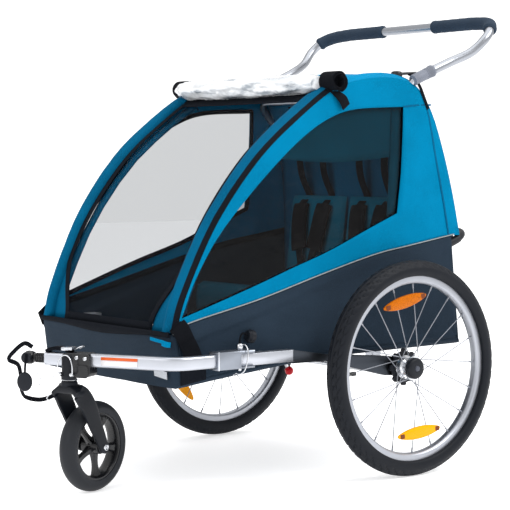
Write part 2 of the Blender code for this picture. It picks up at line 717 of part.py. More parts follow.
def caster_fork(frame, swivel):
    outline = [(-0.024, 0.2380), (0.024, 0.2380), (0.0490, 0.2210), (0.0760, 0.1770), (0.0915, 0.1080),
               (0.0895, 0.0930), (0.0780, 0.0860), (0.0650, 0.0920), (0.0590, 0.1200), (0.0300, 0.1870),
               (-0.0080, 0.2080), (-0.024, 0.2180)]
    fork = block("caster_fork", (-0.0340, -0.024, 0.2150), (0.0340, 0.024, 0.2395), BLACK_PLASTIC, swivel,
                 matrix=frame)
    stem = rod("fork_stem", SWIVEL + Vector((0, 0, 0.230)), SWIVEL + Vector((0, 0, 0.2800)), 0.0115)
    legs = []
    for side in (1, -1):
        low, high = sorted((side * 0.0280, side * 0.0352))
        legs.append(as_mesh(plate("fork_leg", outline, low, high, matrix=frame)))
    unite(fork, stem, *legs)
    centre = Vector((0, CASTER_TRAIL, CASTER_RADIUS))
    reach = Vector((0.05, 0, 0))
    subtract(fork, bore("fork_bore", frame @ (centre - reach), frame @ (centre + reach), 0.0055))


def caster_bracket(arm_axis):
    """The block that grips the tow arm and holds the fork's stem."""
    heading = Matrix.Translation((SWIVEL.x, SWIVEL.y, 0)) @ Matrix.Rotation(ARM_HEADING - math.pi, 4, "Z")
    low, high = (-0.023, -0.0215, 0.2435), (0.050, 0.0200, 0.3090)
    bracket = block("caster_bracket", low, high, BLACK_PLASTIC, arm_axis, matrix=heading)
    start = ARM_CORNER + arm_direction() * (ARM_LENGTH - 0.200)
    end = ARM_CORNER + arm_direction() * (ARM_LENGTH + 0.060)
    channel = tube("bracket_channel", [start, end], 0, profile=oval(ARM_HALF_WIDTH + GAP, ARM_HALF_HEIGHT + GAP))
    stem_bore = bore("stem_bore", SWIVEL + Vector((0, 0, 0.20)), SWIVEL + Vector((0, 0, 0.2808)), 0.0120)
    pin_start = heading @ Vector((-0.0168, -0.05, 0.2640))
    pin_end = heading @ Vector((-0.0168, 0.05, 0.2640))
    subtract(bracket, channel, stem_bore, bore("pin_bore", pin_start, pin_end, 0.0036))
    rod("caster_pin", heading @ Vector((-0.0168, -0.0290, 0.2640)), heading @ Vector((-0.0168, 0.0240, 0.2640)),
        0.0031, STEEL, arm_axis, steps=12)


# Parking brake

def parking_brake():
    axis = axis_empty("brake_axis", (0, 0.030, 0.226))
    bar = rod("brake_bar", (-0.318, 0.030, 0.226), (0.318, 0.030, 0.226), 0.0060, STEEL, axis)
    unite(bar, rod("brake_lever", (-0.142, 0.030, 0.226), (-0.142, 0.0435, 0.2005), 0.0045))
    knob = [(0.0, 0.0120), (0.0080, 0.0085), (0.0110, 0.0), (0.0080, -0.0085), (0.0, -0.0110)]
    turned("brake_knob", knob, Matrix.Translation((-0.142, 0.0505, 0.1885)), RED, axis, steps=16)


# Fabric body

def strip(bm, line, stations, skip=lambda row, column: False):
    """Quads along a (y, z) line and across the given shares of the half width."""
    rows = [[bm.verts.new((station(point.x), point.x, point.y)) for station in stations] for point in line]
    for row in range(len(rows) - 1):
        for column in range(len(stations) - 1):
            if not skip(row, column):
                bm.faces.new((rows[row][column], rows[row][column + 1], rows[row + 1][column + 1],
                              rows[row + 1][column]))


def side_panels(bm, upper, lower):
    """Quads between two (y, z) lines on both sides of the body."""
    for side in (1, -1):
        high = [bm.verts.new((side * half_width(point.x), point.x, point.y)) for point in upper]
        low = [bm.verts.new((side * half_width(point.x), point.x, point.y)) for point in lower]
        for row in range(len(high) - 1):
            corners = [high[row], high[row + 1], low[row + 1], low[row]]
            bm.faces.new(corners if side > 0 else corners[::-1])


def shell(name, bm, outward, made_of, edge):
    """Closes a surface up to the fabric's thickness, on its inner side."""
    bmesh.ops.remove_doubles(bm, verts=bm.verts, dist=0.0002)
    bmesh.ops.dissolve_degenerate(bm, edges=bm.edges, dist=0.0001)
    bmesh.ops.recalc_face_normals(bm, faces=bm.faces)
    outermost = max(bm.faces, key=lambda face: face.calc_center_median().dot(outward))
    if outermost.normal.dot(outward) < 0:
        bmesh.ops.reverse_faces(bm, faces=bm.faces)
    obj = place(mesh_object(name, bm), made_of)
    if edge:
        soften(obj, edge)
    solid = obj.modifiers.new("fabric", "SOLIDIFY")
    solid.thickness = FABRIC
    solid.offset = -1.0
    solid.use_even_offset = True
    return obj


def hood_shell(name, made_of):
    line = through(HOOD_OUTLINE, HOOD_ROWS)
    base = [Vector((point.x, point.y + 4 * GAP)) for point in through(TUB_TOP, HOOD_ROWS)]
    base[0], base[-1] = line[0], line[-1]
    stations = (lambda y: -half_width(y), lambda y: -OPENING_HALF, lambda y: OPENING_HALF, half_width)
    bm = bmesh.new()
    strip(bm, line, stations, lambda row, column: column == 1 and line[row + 1].x < OPENING_END_Y)
    side_panels(bm, line, base)
    return shell(name, bm, Vector((0, 0, 1)), made_of, 0.018)


def window_prism(name, margin, low, high):
    outline = through(WINDOW_TOP, 10) + [Vector(point) for point in WINDOW_BASE]
    closed = [outline[-1]] + outline + [outline[0]]
    moved = []
    for before, point, after in zip(closed, outline, closed[2:]):
        normal = (point - before).normalized().yx * Vector((1, -1))
        mean = (normal + (after - point).normalized().yx * Vector((1, -1))).normalized()
        moved.append(point + mean * margin / max(mean.dot(normal), 0.3))
    return as_mesh(plate(name, moved, low, high))


def hood():
    canopy = hood_shell("canopy", BLUE_FABRIC)
    subtract(canopy, window_prism("window_cut", 0.0, -0.4, 0.4))
    for side in (1, -1):
        subtract(canopy, bore("collar_notch", along_handle(side, -0.0465), along_handle(side, 0.12), 0.0185))
        name = "left" if side > 0 else "right"
        window = hood_shell(f"{name}_window", TINTED_FILM)
        low, high = sorted((side * 0.2, side * 0.4))
        boolean(window, window_prism(f"{name}_window_shape", GAP, low, high), "INTERSECT")


def front_mesh():
    line = [point for point in through(HOOD_OUTLINE, HOOD_ROWS) if point.x < OPENING_END_Y]
    line[-1] = line[-1] + (line[-2] - line[-1]).normalized() * GAP
    shares = (-1, -0.5, 0, 0.5, 1)
    stations = [lambda y, share=share: share * (OPENING_HALF - GAP) for share in shares]
    bm = bmesh.new()
    strip(bm, line, stations)
    return shell("front_mesh", bm, Vector((0, -1, 0)), BLACK_FABRIC, 0.0)


def tub():
    """The lower fabric body, open at the top, with the holes that the frame passes through."""
    line = [Vector(point) for point in TUB_BELLY]
    line = spaced(line[:2], 3)[:-1] + line[1:5] + spaced(line[5:], 6)
    top = through(TUB_TOP, len(line))
    top[0], top[-1] = line[0], line[-1]
    stations = (lambda y: -half_width(y), lambda y: 0.0, half_width)
    bm = bmesh.new()
    strip(bm, line, stations)
    side_panels(bm, top, line)
    body = shell("tub", bm, Vector((0, 0, -1)), SLATE_FABRIC, 0.014)
    subtract(body, bore("cross_hole", (-0.4, -0.380, 0.300), (0.4, -0.380, 0.300), TUBE_RADIUS + 0.0008))
    for side in (1, -1):
        low, high = sorted((side * 0.2270, side * 0.2530))
        subtract(body, block("post_hole", (low, -0.015, 0.27), (high, 0.015, 0.31)))


def cabin():
    """Floor, seats and harnesses."""
    block("floor_panel", (-0.205, -0.500, 0.3195), (0.205, 0.120, 0.3225), BLACK_PLASTIC)
    block("seat_base", (-0.225, -0.170, 0.3900), (0.225, 0.085, 0.4180), SLATE_FABRIC, edge=0.008)


def seat_back():
    tilt = Matrix.Translation((0, 0.105, 0.440)) @ Matrix.Rotation(math.radians(7), 4, "X")
    block("seat_back", (-0.225, -0.012, 0.0), (0.225, 0.012, 0.400), SLATE_FABRIC, edge=0.006, matrix=tilt)
    for name, side in (("left", 1), ("right", -1)):
        x = side * 0.113
        low, high = (x - 0.070, -0.019, 0.060), (x + 0.070, -0.0125, 0.340)
        block(f"{name}_harness", low, high, BLACK_FABRIC, edge=0.002, matrix=tilt)


def rain_cover():
    """The clear cover rolled up across the front of the hood, tied at both ends."""
    centre = Vector((-0.195, 0.912))
    path = []
    for step in range(9):
        share = step / 4 - 1
        path.append(Vector((0.318 * share, centre.x, centre.y - 0.004 * (1 - share ** 2))))
    roll = as_mesh(tube("rain_cover_roll", path, 0.0185, CLEAR_FILM, resolution=3))
    for name, side in (("left", 1), ("right", -1)):
        frame = Matrix.Translation((side * 0.292, centre.x, centre.y)) @ Matrix.Rotation(math.pi / 2, 4, "Y")
        band = [(0.0225, 0.014), (0.0225, -0.014), (0.0200, -0.014), (0.0200, 0.014)]
        turned(f"{name}_roll_strap", band, frame, BLACK_FABRIC, steps=20, ring=True)
    return roll


def build():
    main_wheel("left", 1)
    main_wheel("right", -1)
    side_frames()
    axle_tube()
    floor_frame()
    hoop_axis = axis_empty("rear_hoop_axis", HOOP_HINGE)
    rail_axis = axis_empty("front_rails_axis", RAIL_HINGE)
    slide_axis = axis_empty("handlebar_axis", along_handle(0, 0), hoop_axis)
    front_rails(rail_axis)
    rear_hoop(hoop_axis)
    handlebar(hoop_axis, slide_axis)
    cargo_hoop()
    arm_axis = axis_empty("tow_arm_axis", (SIDE_X, PIVOT_Y, ARM_Z))
    tow_arm(arm_axis)
    hitch_pin(arm_axis)
    coupling(arm_axis)
    caster(arm_axis)
    parking_brake()
    tub()
    hood()
    front_mesh()
    cabin()
    seat_back()
    rain_cover()


def centre_on_origin():
    """Puts the origin on the ground below the middle of the trailer's length."""
    for obj in bpy.data.objects:
        if obj.parent is None:
            obj.location.y -= LENGTH_MIDDLE


build()
centre_on_origin()
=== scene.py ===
"""Looks for the child bicycle trailer: every visible surface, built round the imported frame.

Metres, +Z up. +X is the tow-arm side, the nose points to -Y, and the ground is at Z 0.
"""
import math

import bmesh
import bpy
from mathutils import Matrix, Vector, noise


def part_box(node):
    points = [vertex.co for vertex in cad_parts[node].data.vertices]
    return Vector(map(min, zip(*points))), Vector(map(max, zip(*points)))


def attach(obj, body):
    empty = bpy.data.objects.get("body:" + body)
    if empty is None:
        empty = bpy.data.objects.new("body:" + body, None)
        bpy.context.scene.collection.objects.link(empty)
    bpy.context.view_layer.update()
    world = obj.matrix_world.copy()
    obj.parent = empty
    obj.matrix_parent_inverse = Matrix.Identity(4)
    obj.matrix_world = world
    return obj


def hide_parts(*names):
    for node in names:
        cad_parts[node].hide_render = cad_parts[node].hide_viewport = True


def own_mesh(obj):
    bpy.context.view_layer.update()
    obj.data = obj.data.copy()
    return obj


MM = 0.001

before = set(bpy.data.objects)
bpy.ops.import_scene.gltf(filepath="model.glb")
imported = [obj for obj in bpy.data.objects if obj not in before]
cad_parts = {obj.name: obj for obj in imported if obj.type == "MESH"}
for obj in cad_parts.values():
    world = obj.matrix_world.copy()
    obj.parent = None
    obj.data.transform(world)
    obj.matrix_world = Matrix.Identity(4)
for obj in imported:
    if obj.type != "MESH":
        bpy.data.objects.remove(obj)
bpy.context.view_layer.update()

# Everything here is drawn with the wheel axle at Y 0, and moved into the frame as it is finished
AXLE_Y = 0.25511
OFFSET = Vector((0, AXLE_Y, 0))


def box(node):
    """A CAD node's corners, in drawing coordinates."""
    low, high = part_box(node)
    return low - OFFSET, high - OFFSET


# Bodies of the frame
ROOT = "trailer_frame"
SIDE_NAME = {1: "left", -1: "right"}

# Body outlines as (y, z), drawn through with smooth curves
CROWN = [(-0.602, 0.359), (-0.578, 0.44), (-0.5, 0.597), (-0.39, 0.737), (-0.275, 0.832), (-0.165, 0.902),
         (-0.065, 0.927), (0.035, 0.928), (0.098, 0.901), (0.142, 0.845), (0.18, 0.753), (0.212, 0.65),
         (0.236, 0.5515)]
TUB_TOP = [(-0.602, 0.3545), (-0.56, 0.378), (-0.387, 0.42), (-0.196, 0.472), (-0.046, 0.509),
           (0.059, 0.526), (0.206, 0.549)]
BELLY = [(-0.602, 0.3545), (-0.586, 0.238), (-0.43, 0.258), (-0.22, 0.278), (0.000, 0.2835),
         (0.234, 0.2865), (0.224, 0.376), (0.214, 0.47), (0.206, 0.549)]
WINDOW_TOP = [(-0.58, 0.39), (-0.545, 0.474), (-0.49, 0.562), (-0.419, 0.642), (-0.345, 0.713),
              (-0.265, 0.777), (-0.19, 0.821), (-0.108, 0.845), (0.041, 0.854)]
WINDOW_BASE = [(0.023, 0.605), (-0.064, 0.571), (-0.184, 0.523), (-0.3, 0.485), (-0.426, 0.442),
               (-0.58, 0.39)]
BODY_HALF = box("tub")[1].x
NOSE_HALF = 0.276
TAPER_START = -0.34
NOSE_Y = -0.603
OPENING_HALF = 0.245
OPENING_END = -0.205
CORNER = 0.013

# Wheels
WHEEL_RADIUS = box("left_tyre")[1].z / 2
TRACK_HALF = sum(corner.x for corner in box("left_tyre")) / 2
CASTER_HEADING = math.radians(18)
CASTER_PIVOT = Vector((0.108, -0.757, 0))
ARM_HEADING = math.radians(210)
REFLECTOR_TURNS = {1: (192, 5), -1: (230, 50)}
GRIP_Y, GRIP_HEIGHT = 0.33, 1.066


# Shader nodes

def new_material(name):
    made = bpy.data.materials.new(name)
    made.use_nodes = True
    tree = made.node_tree
    shader = tree.nodes["Principled BSDF"]
    return made, tree, shader


def add_node(tree, kind, inputs=None, **settings):
    node = tree.nodes.new(kind)
    for key, value in settings.items():
        setattr(node, key, value)
    for key, value in (inputs or {}).items():
        if isinstance(value, bpy.types.NodeSocket):
            tree.links.new(value, node.inputs[key])
        else:
            node.inputs[key].default_value = value
    return node


def object_coordinates(tree):
    return add_node(tree, "ShaderNodeTexCoord").outputs["Object"]


def noise_value(tree, scale, detail=3.0, stretch=(1, 1, 1)):
    mapping = add_node(tree, "ShaderNodeMapping", {"Vector": object_coordinates(tree), "Scale": stretch})
    texture = add_node(tree, "ShaderNodeTexNoise", {"Vector": mapping.outputs[0], "Scale": scale, "Detail": detail})
    return texture.outputs["Fac"]


def colour_mix(tree, factor, first, second):
    mix = add_node(tree, "ShaderNodeMix", data_type="RGBA")
    tree.links.new(factor, mix.inputs[0])
    for socket, value in ((6, first), (7, second)):
        if isinstance(value, bpy.types.NodeSocket):
            tree.links.new(value, mix.inputs[socket])
        else:
            mix.inputs[socket].default_value = (*value, 1)
    return mix.outputs[2]


def maths(tree, operation, first, second=0.0, third=0.0):
    values = {0: first, 1: second, 2: third}
    return add_node(tree, "ShaderNodeMath", values, operation=operation).outputs[0]


def ramp(tree, value, low, high):
    """0 below low, 1 above high."""
    node = add_node(tree, "ShaderNodeMapRange",
                    {"Value": value, "From Min": low, "From Max": high}, interpolation_type="SMOOTHSTEP")
    return node.outputs[0]


def bump(tree, shader, height, strength, distance, normal=None):
    inputs = {"Height": height, "Strength": strength, "Distance": distance}
    if normal:
        inputs["Normal"] = normal
    node = add_node(tree, "ShaderNodeBump", inputs)
    tree.links.new(node.outputs[0], shader.inputs["Normal"])
    return node.outputs[0]


def srgb(*channels):
    """Linear colour of an 8-bit screen colour."""
    return tuple((c / 255 / 12.92) if c <= 10 else ((c / 255 + 0.055) / 1.055) ** 2.4 for c in channels)


def shade(colour, factor):
    return tuple(min(1.0, channel * factor) for channel in colour)


def threads(tree, pitch, axes="XYZ"):
    """A plain weave: ridges along each axis of the piece, multiplied together."""
    split = add_node(tree, "ShaderNodeSeparateXYZ", {"Vector": object_coordinates(tree)})
    total = None
    for axis in axes:
        wave = maths(tree, "SINE", maths(tree, "MULTIPLY", split.outputs[axis], 2 * math.pi / pitch))
        total = wave if total is None else maths(tree, "ADD", total, wave)
    return total


# Materials

def fabric(name, colour, roughness=0.75, pitch=1.6 * MM, specular=0.05, variation=0.14, weave=0.35, translucent=0.0,
           lining=None):
    made, tree, shader = new_material(name)
    patches = noise_value(tree, 9.0, 4.0)
    fine = noise_value(tree, 420.0, 2.0)
    tone = colour_mix(tree, ramp(tree, patches, 0.3, 0.7), shade(colour, 1 - variation), shade(colour, 1 + variation))
    tone = colour_mix(tree, ramp(tree, fine, 0.35, 0.75), tone, shade(colour, 1.25))
    if lining:
        normal = add_node(tree, "ShaderNodeNewGeometry").outputs["Normal"]
        outwards = add_node(tree, "ShaderNodeVectorMath", {0: normal, 1: (0, 0.6, 0.8)}, operation="DOT_PRODUCT")
        tone = colour_mix(tree, ramp(tree, outwards.outputs["Value"], -0.02, 0.02), lining, tone)
    tree.links.new(tone, shader.inputs["Base Color"])
    shader.inputs["Roughness"].default_value = roughness
    shader.inputs["Specular IOR Level"].default_value = specular
    first = bump(tree, shader, threads(tree, pitch), weave, 0.25 * MM)
    bump(tree, shader, noise_value(tree, 22.0, 5.0), 0.35, 3.0 * MM, first)
    if translucent:
        back = add_node(tree, "ShaderNodeBsdfTranslucent", {"Color": (*colour, 1)})
        mix = add_node(tree, "ShaderNodeMixShader", {0: translucent, 1: shader.outputs[0], 2: back.outputs[0]})
        tree.links.new(mix.outputs[0], tree.nodes["Material Output"].inputs["Surface"])
    return made


def metal(name, colour, roughness=0.3, grain=(1, 1, 1), scratches=0.1):
    made, tree, shader = new_material(name)
    lines = noise_value(tree, 160.0, 4.0, grain)
    tone = colour_mix(tree, ramp(tree, noise_value(tree, 14.0, 3.0), 0.3, 0.7), shade(colour, 0.93), colour)
    tree.links.new(tone, shader.inputs["Base Color"])
    shader.inputs["Metallic"].default_value = 1.0
    rough = maths(tree, "MULTIPLY_ADD", lines, scratches, roughness - scratches / 2)
    tree.links.new(rough, shader.inputs["Roughness"])
    bump(tree, shader, lines, 0.12, 0.1 * MM)
    return made


def plastic(name, colour, roughness=0.45, grain=900.0, relief=0.25, wear=0.25, specular=0.25):
    made, tree, shader = new_material(name)
    shader.inputs["Specular IOR Level"].default_value = specular
    geometry = add_node(tree, "ShaderNodeNewGeometry")
    edge = ramp(tree, geometry.outputs["Pointiness"], 0.52, 0.6)
    worn = maths(tree, "MULTIPLY", edge, wear)
    tone = colour_mix(tree, noise_value(tree, 30.0, 3.0), shade(colour, 0.85), shade(colour, 1.2))
    tone = colour_mix(tree, worn, tone, shade(colour, 3.0))
    tree.links.new(tone, shader.inputs["Base Color"])
    rough = maths(tree, "MULTIPLY_ADD", noise_value(tree, 60.0, 3.0), 0.16, roughness - 0.08)
    tree.links.new(rough, shader.inputs["Roughness"])
    bump(tree, shader, noise_value(tree, grain, 2.0), relief, 0.12 * MM)
    return made


def rubber(name, colour, roughness=0.8):
    return plastic(name, colour, roughness, 500.0, 0.35, 0.25, 0.18)


def film(name, tint, clear, gloss=0.08, ripple=26.0, depth=2.0 * MM):
    """Thin flexible film: mostly see-through, with a rippled reflection."""
    made, tree, shader = new_material(name)
    shader.inputs["Base Color"].default_value = (*tint, 1)
    shader.inputs["Roughness"].default_value = gloss
    normal = bump(tree, shader, noise_value(tree, ripple, 2.0), 0.5, depth)
    see = add_node(tree, "ShaderNodeBsdfTransparent", {"Color": (*clear, 1)})
    facing = add_node(tree, "ShaderNodeFresnel", {"IOR": 1.42, "Normal": normal})
    amount = maths(tree, "MULTIPLY_ADD", facing.outputs[0], 0.22, 0.004)
    gloss_shader = add_node(tree, "ShaderNodeBsdfGlossy", {"Roughness": gloss, "Normal": normal})
    mix = add_node(tree, "ShaderNodeMixShader", {0: amount, 1: see.outputs[0], 2: gloss_shader.outputs[0]})
    tree.links.new(mix.outputs[0], tree.nodes["Material Output"].inputs["Surface"])
    return made


def crumpled_film(name):
    """Clear cover rolled into many layers: milky, silvery and creased, with painted shade: dark grey where the fold
    pattern dips into creases.
    """
    made, tree, shader = new_material(name)
    folds = noise_value(tree, 26.0, 6.0, (0.35, 1.6, 1.6))
    # Painted shade: the creases of the fold pattern are coloured dark grey, the rest near white
    tone = colour_mix(tree, ramp(tree, folds, 0.3, 0.5), (0.26, 0.3, 0.34), (0.9, 0.92, 0.94))
    tree.links.new(tone, shader.inputs["Base Color"])
    shader.inputs["Roughness"].default_value = 0.16
    shader.inputs["Metallic"].default_value = 0.15
    shader.inputs["Specular IOR Level"].default_value = 0.8
    shader.inputs["Coat Weight"].default_value = 0.6
    bump(tree, shader, folds, 0.9, 5.0 * MM)
    see = add_node(tree, "ShaderNodeBsdfTransparent", {"Color": (0.97, 0.98, 1.0, 1)})
    amount = maths(tree, "MULTIPLY_ADD", ramp(tree, folds, 0.45, 0.75), -0.35, 0.98)
    mix = add_node(tree, "ShaderNodeMixShader", {0: amount, 1: see.outputs[0], 2: shader.outputs[0]})
    tree.links.new(mix.outputs[0], tree.nodes["Material Output"].inputs["Surface"])
    return made


def open_mesh(name, colour, openness, pitch=1.8 * MM, axes="XZ"):
    """Insect mesh: dark threads with holes between them."""
    made, tree, shader = new_material(name)
    shader.inputs["Base Color"].default_value = (*colour, 1)
    shader.inputs["Roughness"].default_value = 0.7
    split = add_node(tree, "ShaderNodeSeparateXYZ", {"Vector": object_coordinates(tree)})
    hole = None
    for axis in axes:
        wave = maths(tree, "SINE", maths(tree, "MULTIPLY", split.outputs[axis], 2 * math.pi / pitch))
        is_open = ramp(tree, wave, -0.95, -0.75)
        hole = is_open if hole is None else maths(tree, "MULTIPLY", hole, is_open)
    clear = maths(tree, "MULTIPLY_ADD", hole, 0.12, openness - 0.1)
    see = add_node(tree, "ShaderNodeBsdfTransparent")
    mix = add_node(tree, "ShaderNodeMixShader", {0: clear, 1: shader.outputs[0], 2: see.outputs[0]})
    tree.links.new(mix.outputs[0], tree.nodes["Material Output"].inputs["Surface"])
    return made


def reflector_lens(name, colour):
    made, tree, shader = new_material(name)
    cells = add_node(tree, "ShaderNodeTexVoronoi", {"Vector": object_coordinates(tree), "Scale": 330.0})
    tone = colour_mix(tree, cells.outputs["Distance"], shade(colour, 1.15), shade(colour, 0.62))
    # Painted light: the lens is coloured bright yellow low down (below Z 0.16, blending up to 0.3), as if lit from
    # the floor below
    height = add_node(tree, "ShaderNodeSeparateXYZ", {0: add_node(tree, "ShaderNodeNewGeometry").outputs["Position"]})
    tone = colour_mix(tree, ramp(tree, height.outputs["Z"], 0.16, 0.3), srgb(240, 156, 4), tone)
    tree.links.new(tone, shader.inputs["Base Color"])
    shader.inputs["Roughness"].default_value = 0.12
    shader.inputs["Specular IOR Level"].default_value = 0.12
    # Painted glow: the lens emits its own colour faintly, though it is no lamp
    tree.links.new(tone, shader.inputs["Emission Color"])
    shader.inputs["Emission Strength"].default_value = 0.06
    bump(tree, shader, cells.outputs["Distance"], 0.4, 1.0 * MM)
    return made


BLUE = fabric("blue_fabric", srgb(0, 114, 155), specular=0.02, translucent=0.16)
ROOF_BLUE = fabric("lined_blue_fabric", srgb(0, 115, 157), specular=0.05, lining=srgb(26, 27, 31))
BRIGHT_BLUE = fabric("bright_blue_fabric", srgb(0, 126, 172), specular=0.02, translucent=0.1)
# Painted shade: a darker copy of the blue fabric for the front posts, which face away from the key light
SHADED_FRONT_BLUE = fabric("shaded_front_blue_fabric", srgb(1, 83, 117), specular=0.04, translucent=0.05)
# Painted shade: the blue fabric darkened to the posts' shaded tone, for the seams, the rear curtain inside and the
# front rails
SHADED_BLUE = fabric("shaded_blue_fabric", srgb(2, 82, 116))
HEADER_CLOTH = fabric("header_fabric", srgb(48, 58, 68))
FLAP_BLUE = fabric("flap_fabric", srgb(3, 74, 94))
SLATE = fabric("slate_fabric", srgb(30, 42, 54), 0.7, 2.0 * MM, 0.08, 0.1, 0.3)
BLACK_CLOTH = fabric("black_fabric", srgb(17, 20, 26), 0.8, 1.6 * MM, 0.05)
WEBBING = fabric("black_webbing", srgb(16, 18, 23), 0.8, 1.1 * MM, 0.06, 0.1, 0.9)
SEAT_BLUE = fabric("blue_seat_fabric", srgb(2, 104, 132), 0.85, 2.2 * MM, weave=0.15)
SEAT_BLACK = fabric("black_seat_fabric", srgb(22, 20, 23), 0.85, 2.2 * MM, weave=0.12)
PIPING = fabric("reflective_piping", srgb(132, 138, 140), 0.45, 1.0 * MM)
REFLECTIVE = fabric("reflective_tape", srgb(170, 174, 180), 0.35, 0.9 * MM, 0.4)
FRONT_MESH = open_mesh("front_mesh_net", srgb(22, 22, 25), 0.9)
WINDOW_FILM = film("tinted_window_film", srgb(60, 66, 70), (0.53, 0.54, 0.55))
ROLLED_FILM = crumpled_film("rolled_clear_film")
ALUMINIUM = metal("satin_aluminium", srgb(182, 185, 192), 0.36, (0.2, 0.2, 3.0))
POLISHED = metal("polished_aluminium", srgb(196, 199, 205), 0.22)
BRACKET_METAL = metal("dark_aluminium", srgb(60, 64, 70), 0.4)
YOKE_METAL = metal("cast_aluminium", srgb(140, 145, 154), 0.42)
HANDLE_METAL = metal("handle_aluminium", srgb(150, 153, 159), 0.3)
SPOKE_METAL = metal("spoke_wire", srgb(150, 153, 160), 0.5)
RIM_METAL = metal("rim_aluminium", srgb(168, 171, 178), 0.42)
STEEL = metal("bright_steel", srgb(204, 206, 210), 0.18)
BLACK_PLASTIC = plastic("black_plastic", srgb(15, 18, 24), specular=0.2)
GLOSS_BLACK = plastic("gloss_black_plastic", srgb(15, 16, 19), 0.28, 700.0, 0.08, specular=0.4)
GREY_PLASTIC = plastic("grey_plastic", srgb(96, 100, 110), 0.5)
DARK_GREY = plastic("dark_grey_plastic", srgb(54, 57, 65), 0.5)
RED_PLASTIC = plastic("red_plastic", srgb(176, 12, 26), 0.3, 500.0, 0.08)
FOAM = plastic("grip_foam", srgb(44, 55, 68), 0.9, 1300.0, 0.7, 0.0, 0.1)
TYRE = rubber("tyre_rubber", srgb(12, 16, 23), 0.55)
CASTER_RUBBER = rubber("caster_rubber", srgb(32, 34, 38), 0.5)
AMBER = reflector_lens("amber_lens_painted_glow", srgb(184, 96, 2))
# Painted shade: a darker amber for the recesses at the lens ends
AMBER_SHADE = plastic("amber_recess_painted_shade", srgb(84, 36, 2), 0.3, 500.0, 0.05)
BAND_ORANGE = plastic("orange_band", srgb(200, 84, 28), 0.4, 900.0, 0.05, 0.0)
BAND_WHITE = plastic("white_band", srgb(214, 211, 213), 0.4, 900.0, 0.05, 0.0)


# Points along rules

def curve(points, count):
    """Catmull-Rom through the points, then spread evenly along its length."""
    points = [Vector(point) for point in points]
    ends = [2 * points[0] - points[1], *points, 2 * points[-1] - points[-2]]
    dense = []
    for index in range(1, len(ends) - 2):
        a, b, c, d = ends[index - 1:index + 3]
        for step in range(24):
            t = step / 24
            dense.append(0.5 * (2 * b + (c - a) * t + (2 * a - 5 * b + 4 * c - d) * t * t
                                + (3 * b - a - 3 * c + d) * t * t * t))
    dense.append(points[-1])
    return spread(dense, count)


def spread(points, count):
    points = [Vector(point) for point in points]
    lengths = [0.0]
    for a, b in zip(points, points[1:]):
        lengths.append(lengths[-1] + (b - a).length)
    made, index = [], 0
    for step in range(count):
        target = lengths[-1] * step / (count - 1)
        while index < len(points) - 2 and lengths[index + 1] < target:
            index += 1
        gap = lengths[index + 1] - lengths[index]
        made.append(points[index].lerp(points[index + 1], (target - lengths[index]) / gap if gap else 0))
    return made


def arc(centre, radius, start, end, count):
    """Points round a circle in a plane, in degrees."""
    angles = [math.radians(start + (end - start) * step / (count - 1)) for step in range(count)]
    return [(centre[0] + radius * math.cos(a), centre[1] + radius * math.sin(a)) for a in angles]


def inward(points):
    """Normals of a (y, z) line that point to its right, which is into the body for the crown."""
    made = []
    for index in range(len(points)):
        step = points[min(index + 1, len(points) - 1)] - points[max(index - 1, 0)]
        made.append(Vector((step.y, -step.x)).normalized())
    return made


def half_width(y):
    share = min(1.0, max(0.0, (TAPER_START - y) / (TAPER_START - NOSE_Y)))
    return BODY_HALF - (BODY_HALF - NOSE_HALF) * share ** 1.5


def smoothstep(value):
    value = min(1.0, max(0.0, value))
    return value * value * (3 - 2 * value)


def mirrored(points, side):
    return [Vector((side * point[0], point[1], point[2])) for point in points]


# Pieces

def finish_mesh(name, bm, body, surface, replaces=(), flat=False, angle=40):
    bmesh.ops.recalc_face_normals(bm, faces=bm.faces)
    bmesh.ops.translate(bm, verts=bm.verts, vec=OFFSET)
    mesh = bpy.data.meshes.new(name)
    bm.to_mesh(mesh)
    bm.free()
    for material in surface if isinstance(surface, (list, tuple)) else [surface]:
        mesh.materials.append(material)
    if not flat:
        mesh.polygons.foreach_set("use_smooth", [True] * len(mesh.polygons))
        mesh.set_sharp_from_angle(angle=math.radians(angle))
    obj = bpy.data.objects.new(name, mesh)
    bpy.context.scene.collection.objects.link(obj)
    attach(obj, body)
    if replaces:
        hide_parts(*replaces)
    return obj


def add_grid(bm, rows, close_rows=False, close_columns=False, skip=None, index=None):
    """Quads over rows of points. skip(row, column) leaves one out, and index gives its material."""
    made = [[bm.verts.new(point) for point in row] for row in rows]
    row_count, column_count = len(made), len(made[0])
    for r in range(row_count if close_rows else row_count - 1):
        for c in range(column_count if close_columns else column_count - 1):
            if skip and skip(r, c):
                continue
            a, b = made[r], made[(r + 1) % row_count]
            d = (c + 1) % column_count
            face = bm.faces.new((a[c], a[d], b[d], b[c]))
            if index:
                face.material_index = index(r, c)
    return made


def thicken(obj, thickness, offset=-1.0):
    solid = obj.modifiers.new("thickness", "SOLIDIFY")
    solid.thickness = thickness
    solid.offset = offset
    return obj


def soften(obj, width, segments=2, angle=30):
    bevel = obj.modifiers.new("edges", "BEVEL")
    bevel.width = width
    bevel.segments = segments
    bevel.limit_method = "ANGLE"
    bevel.angle_limit = math.radians(angle)
    bevel.harden_normals = True
    return obj


def frames_along(path, up=None):
    """Two directions across the path at each point, turning as little as possible."""
    tangents = []
    for index in range(len(path)):
        step = path[min(index + 1, len(path) - 1)] - path[max(index - 1, 0)]
        tangents.append(step.normalized())
    across = None
    made = []
    for tangent in tangents:
        if up is not None:
            side = tangent.cross(Vector(up))
        elif across is None:
            side = tangent.orthogonal()
        else:
            side = across - tangent * across.dot(tangent)
        side = side.normalized() if side.length > 1e-6 else (across or tangent.orthogonal().normalized())
        across = side
        made.append((side, tangent.cross(side)))
    return made


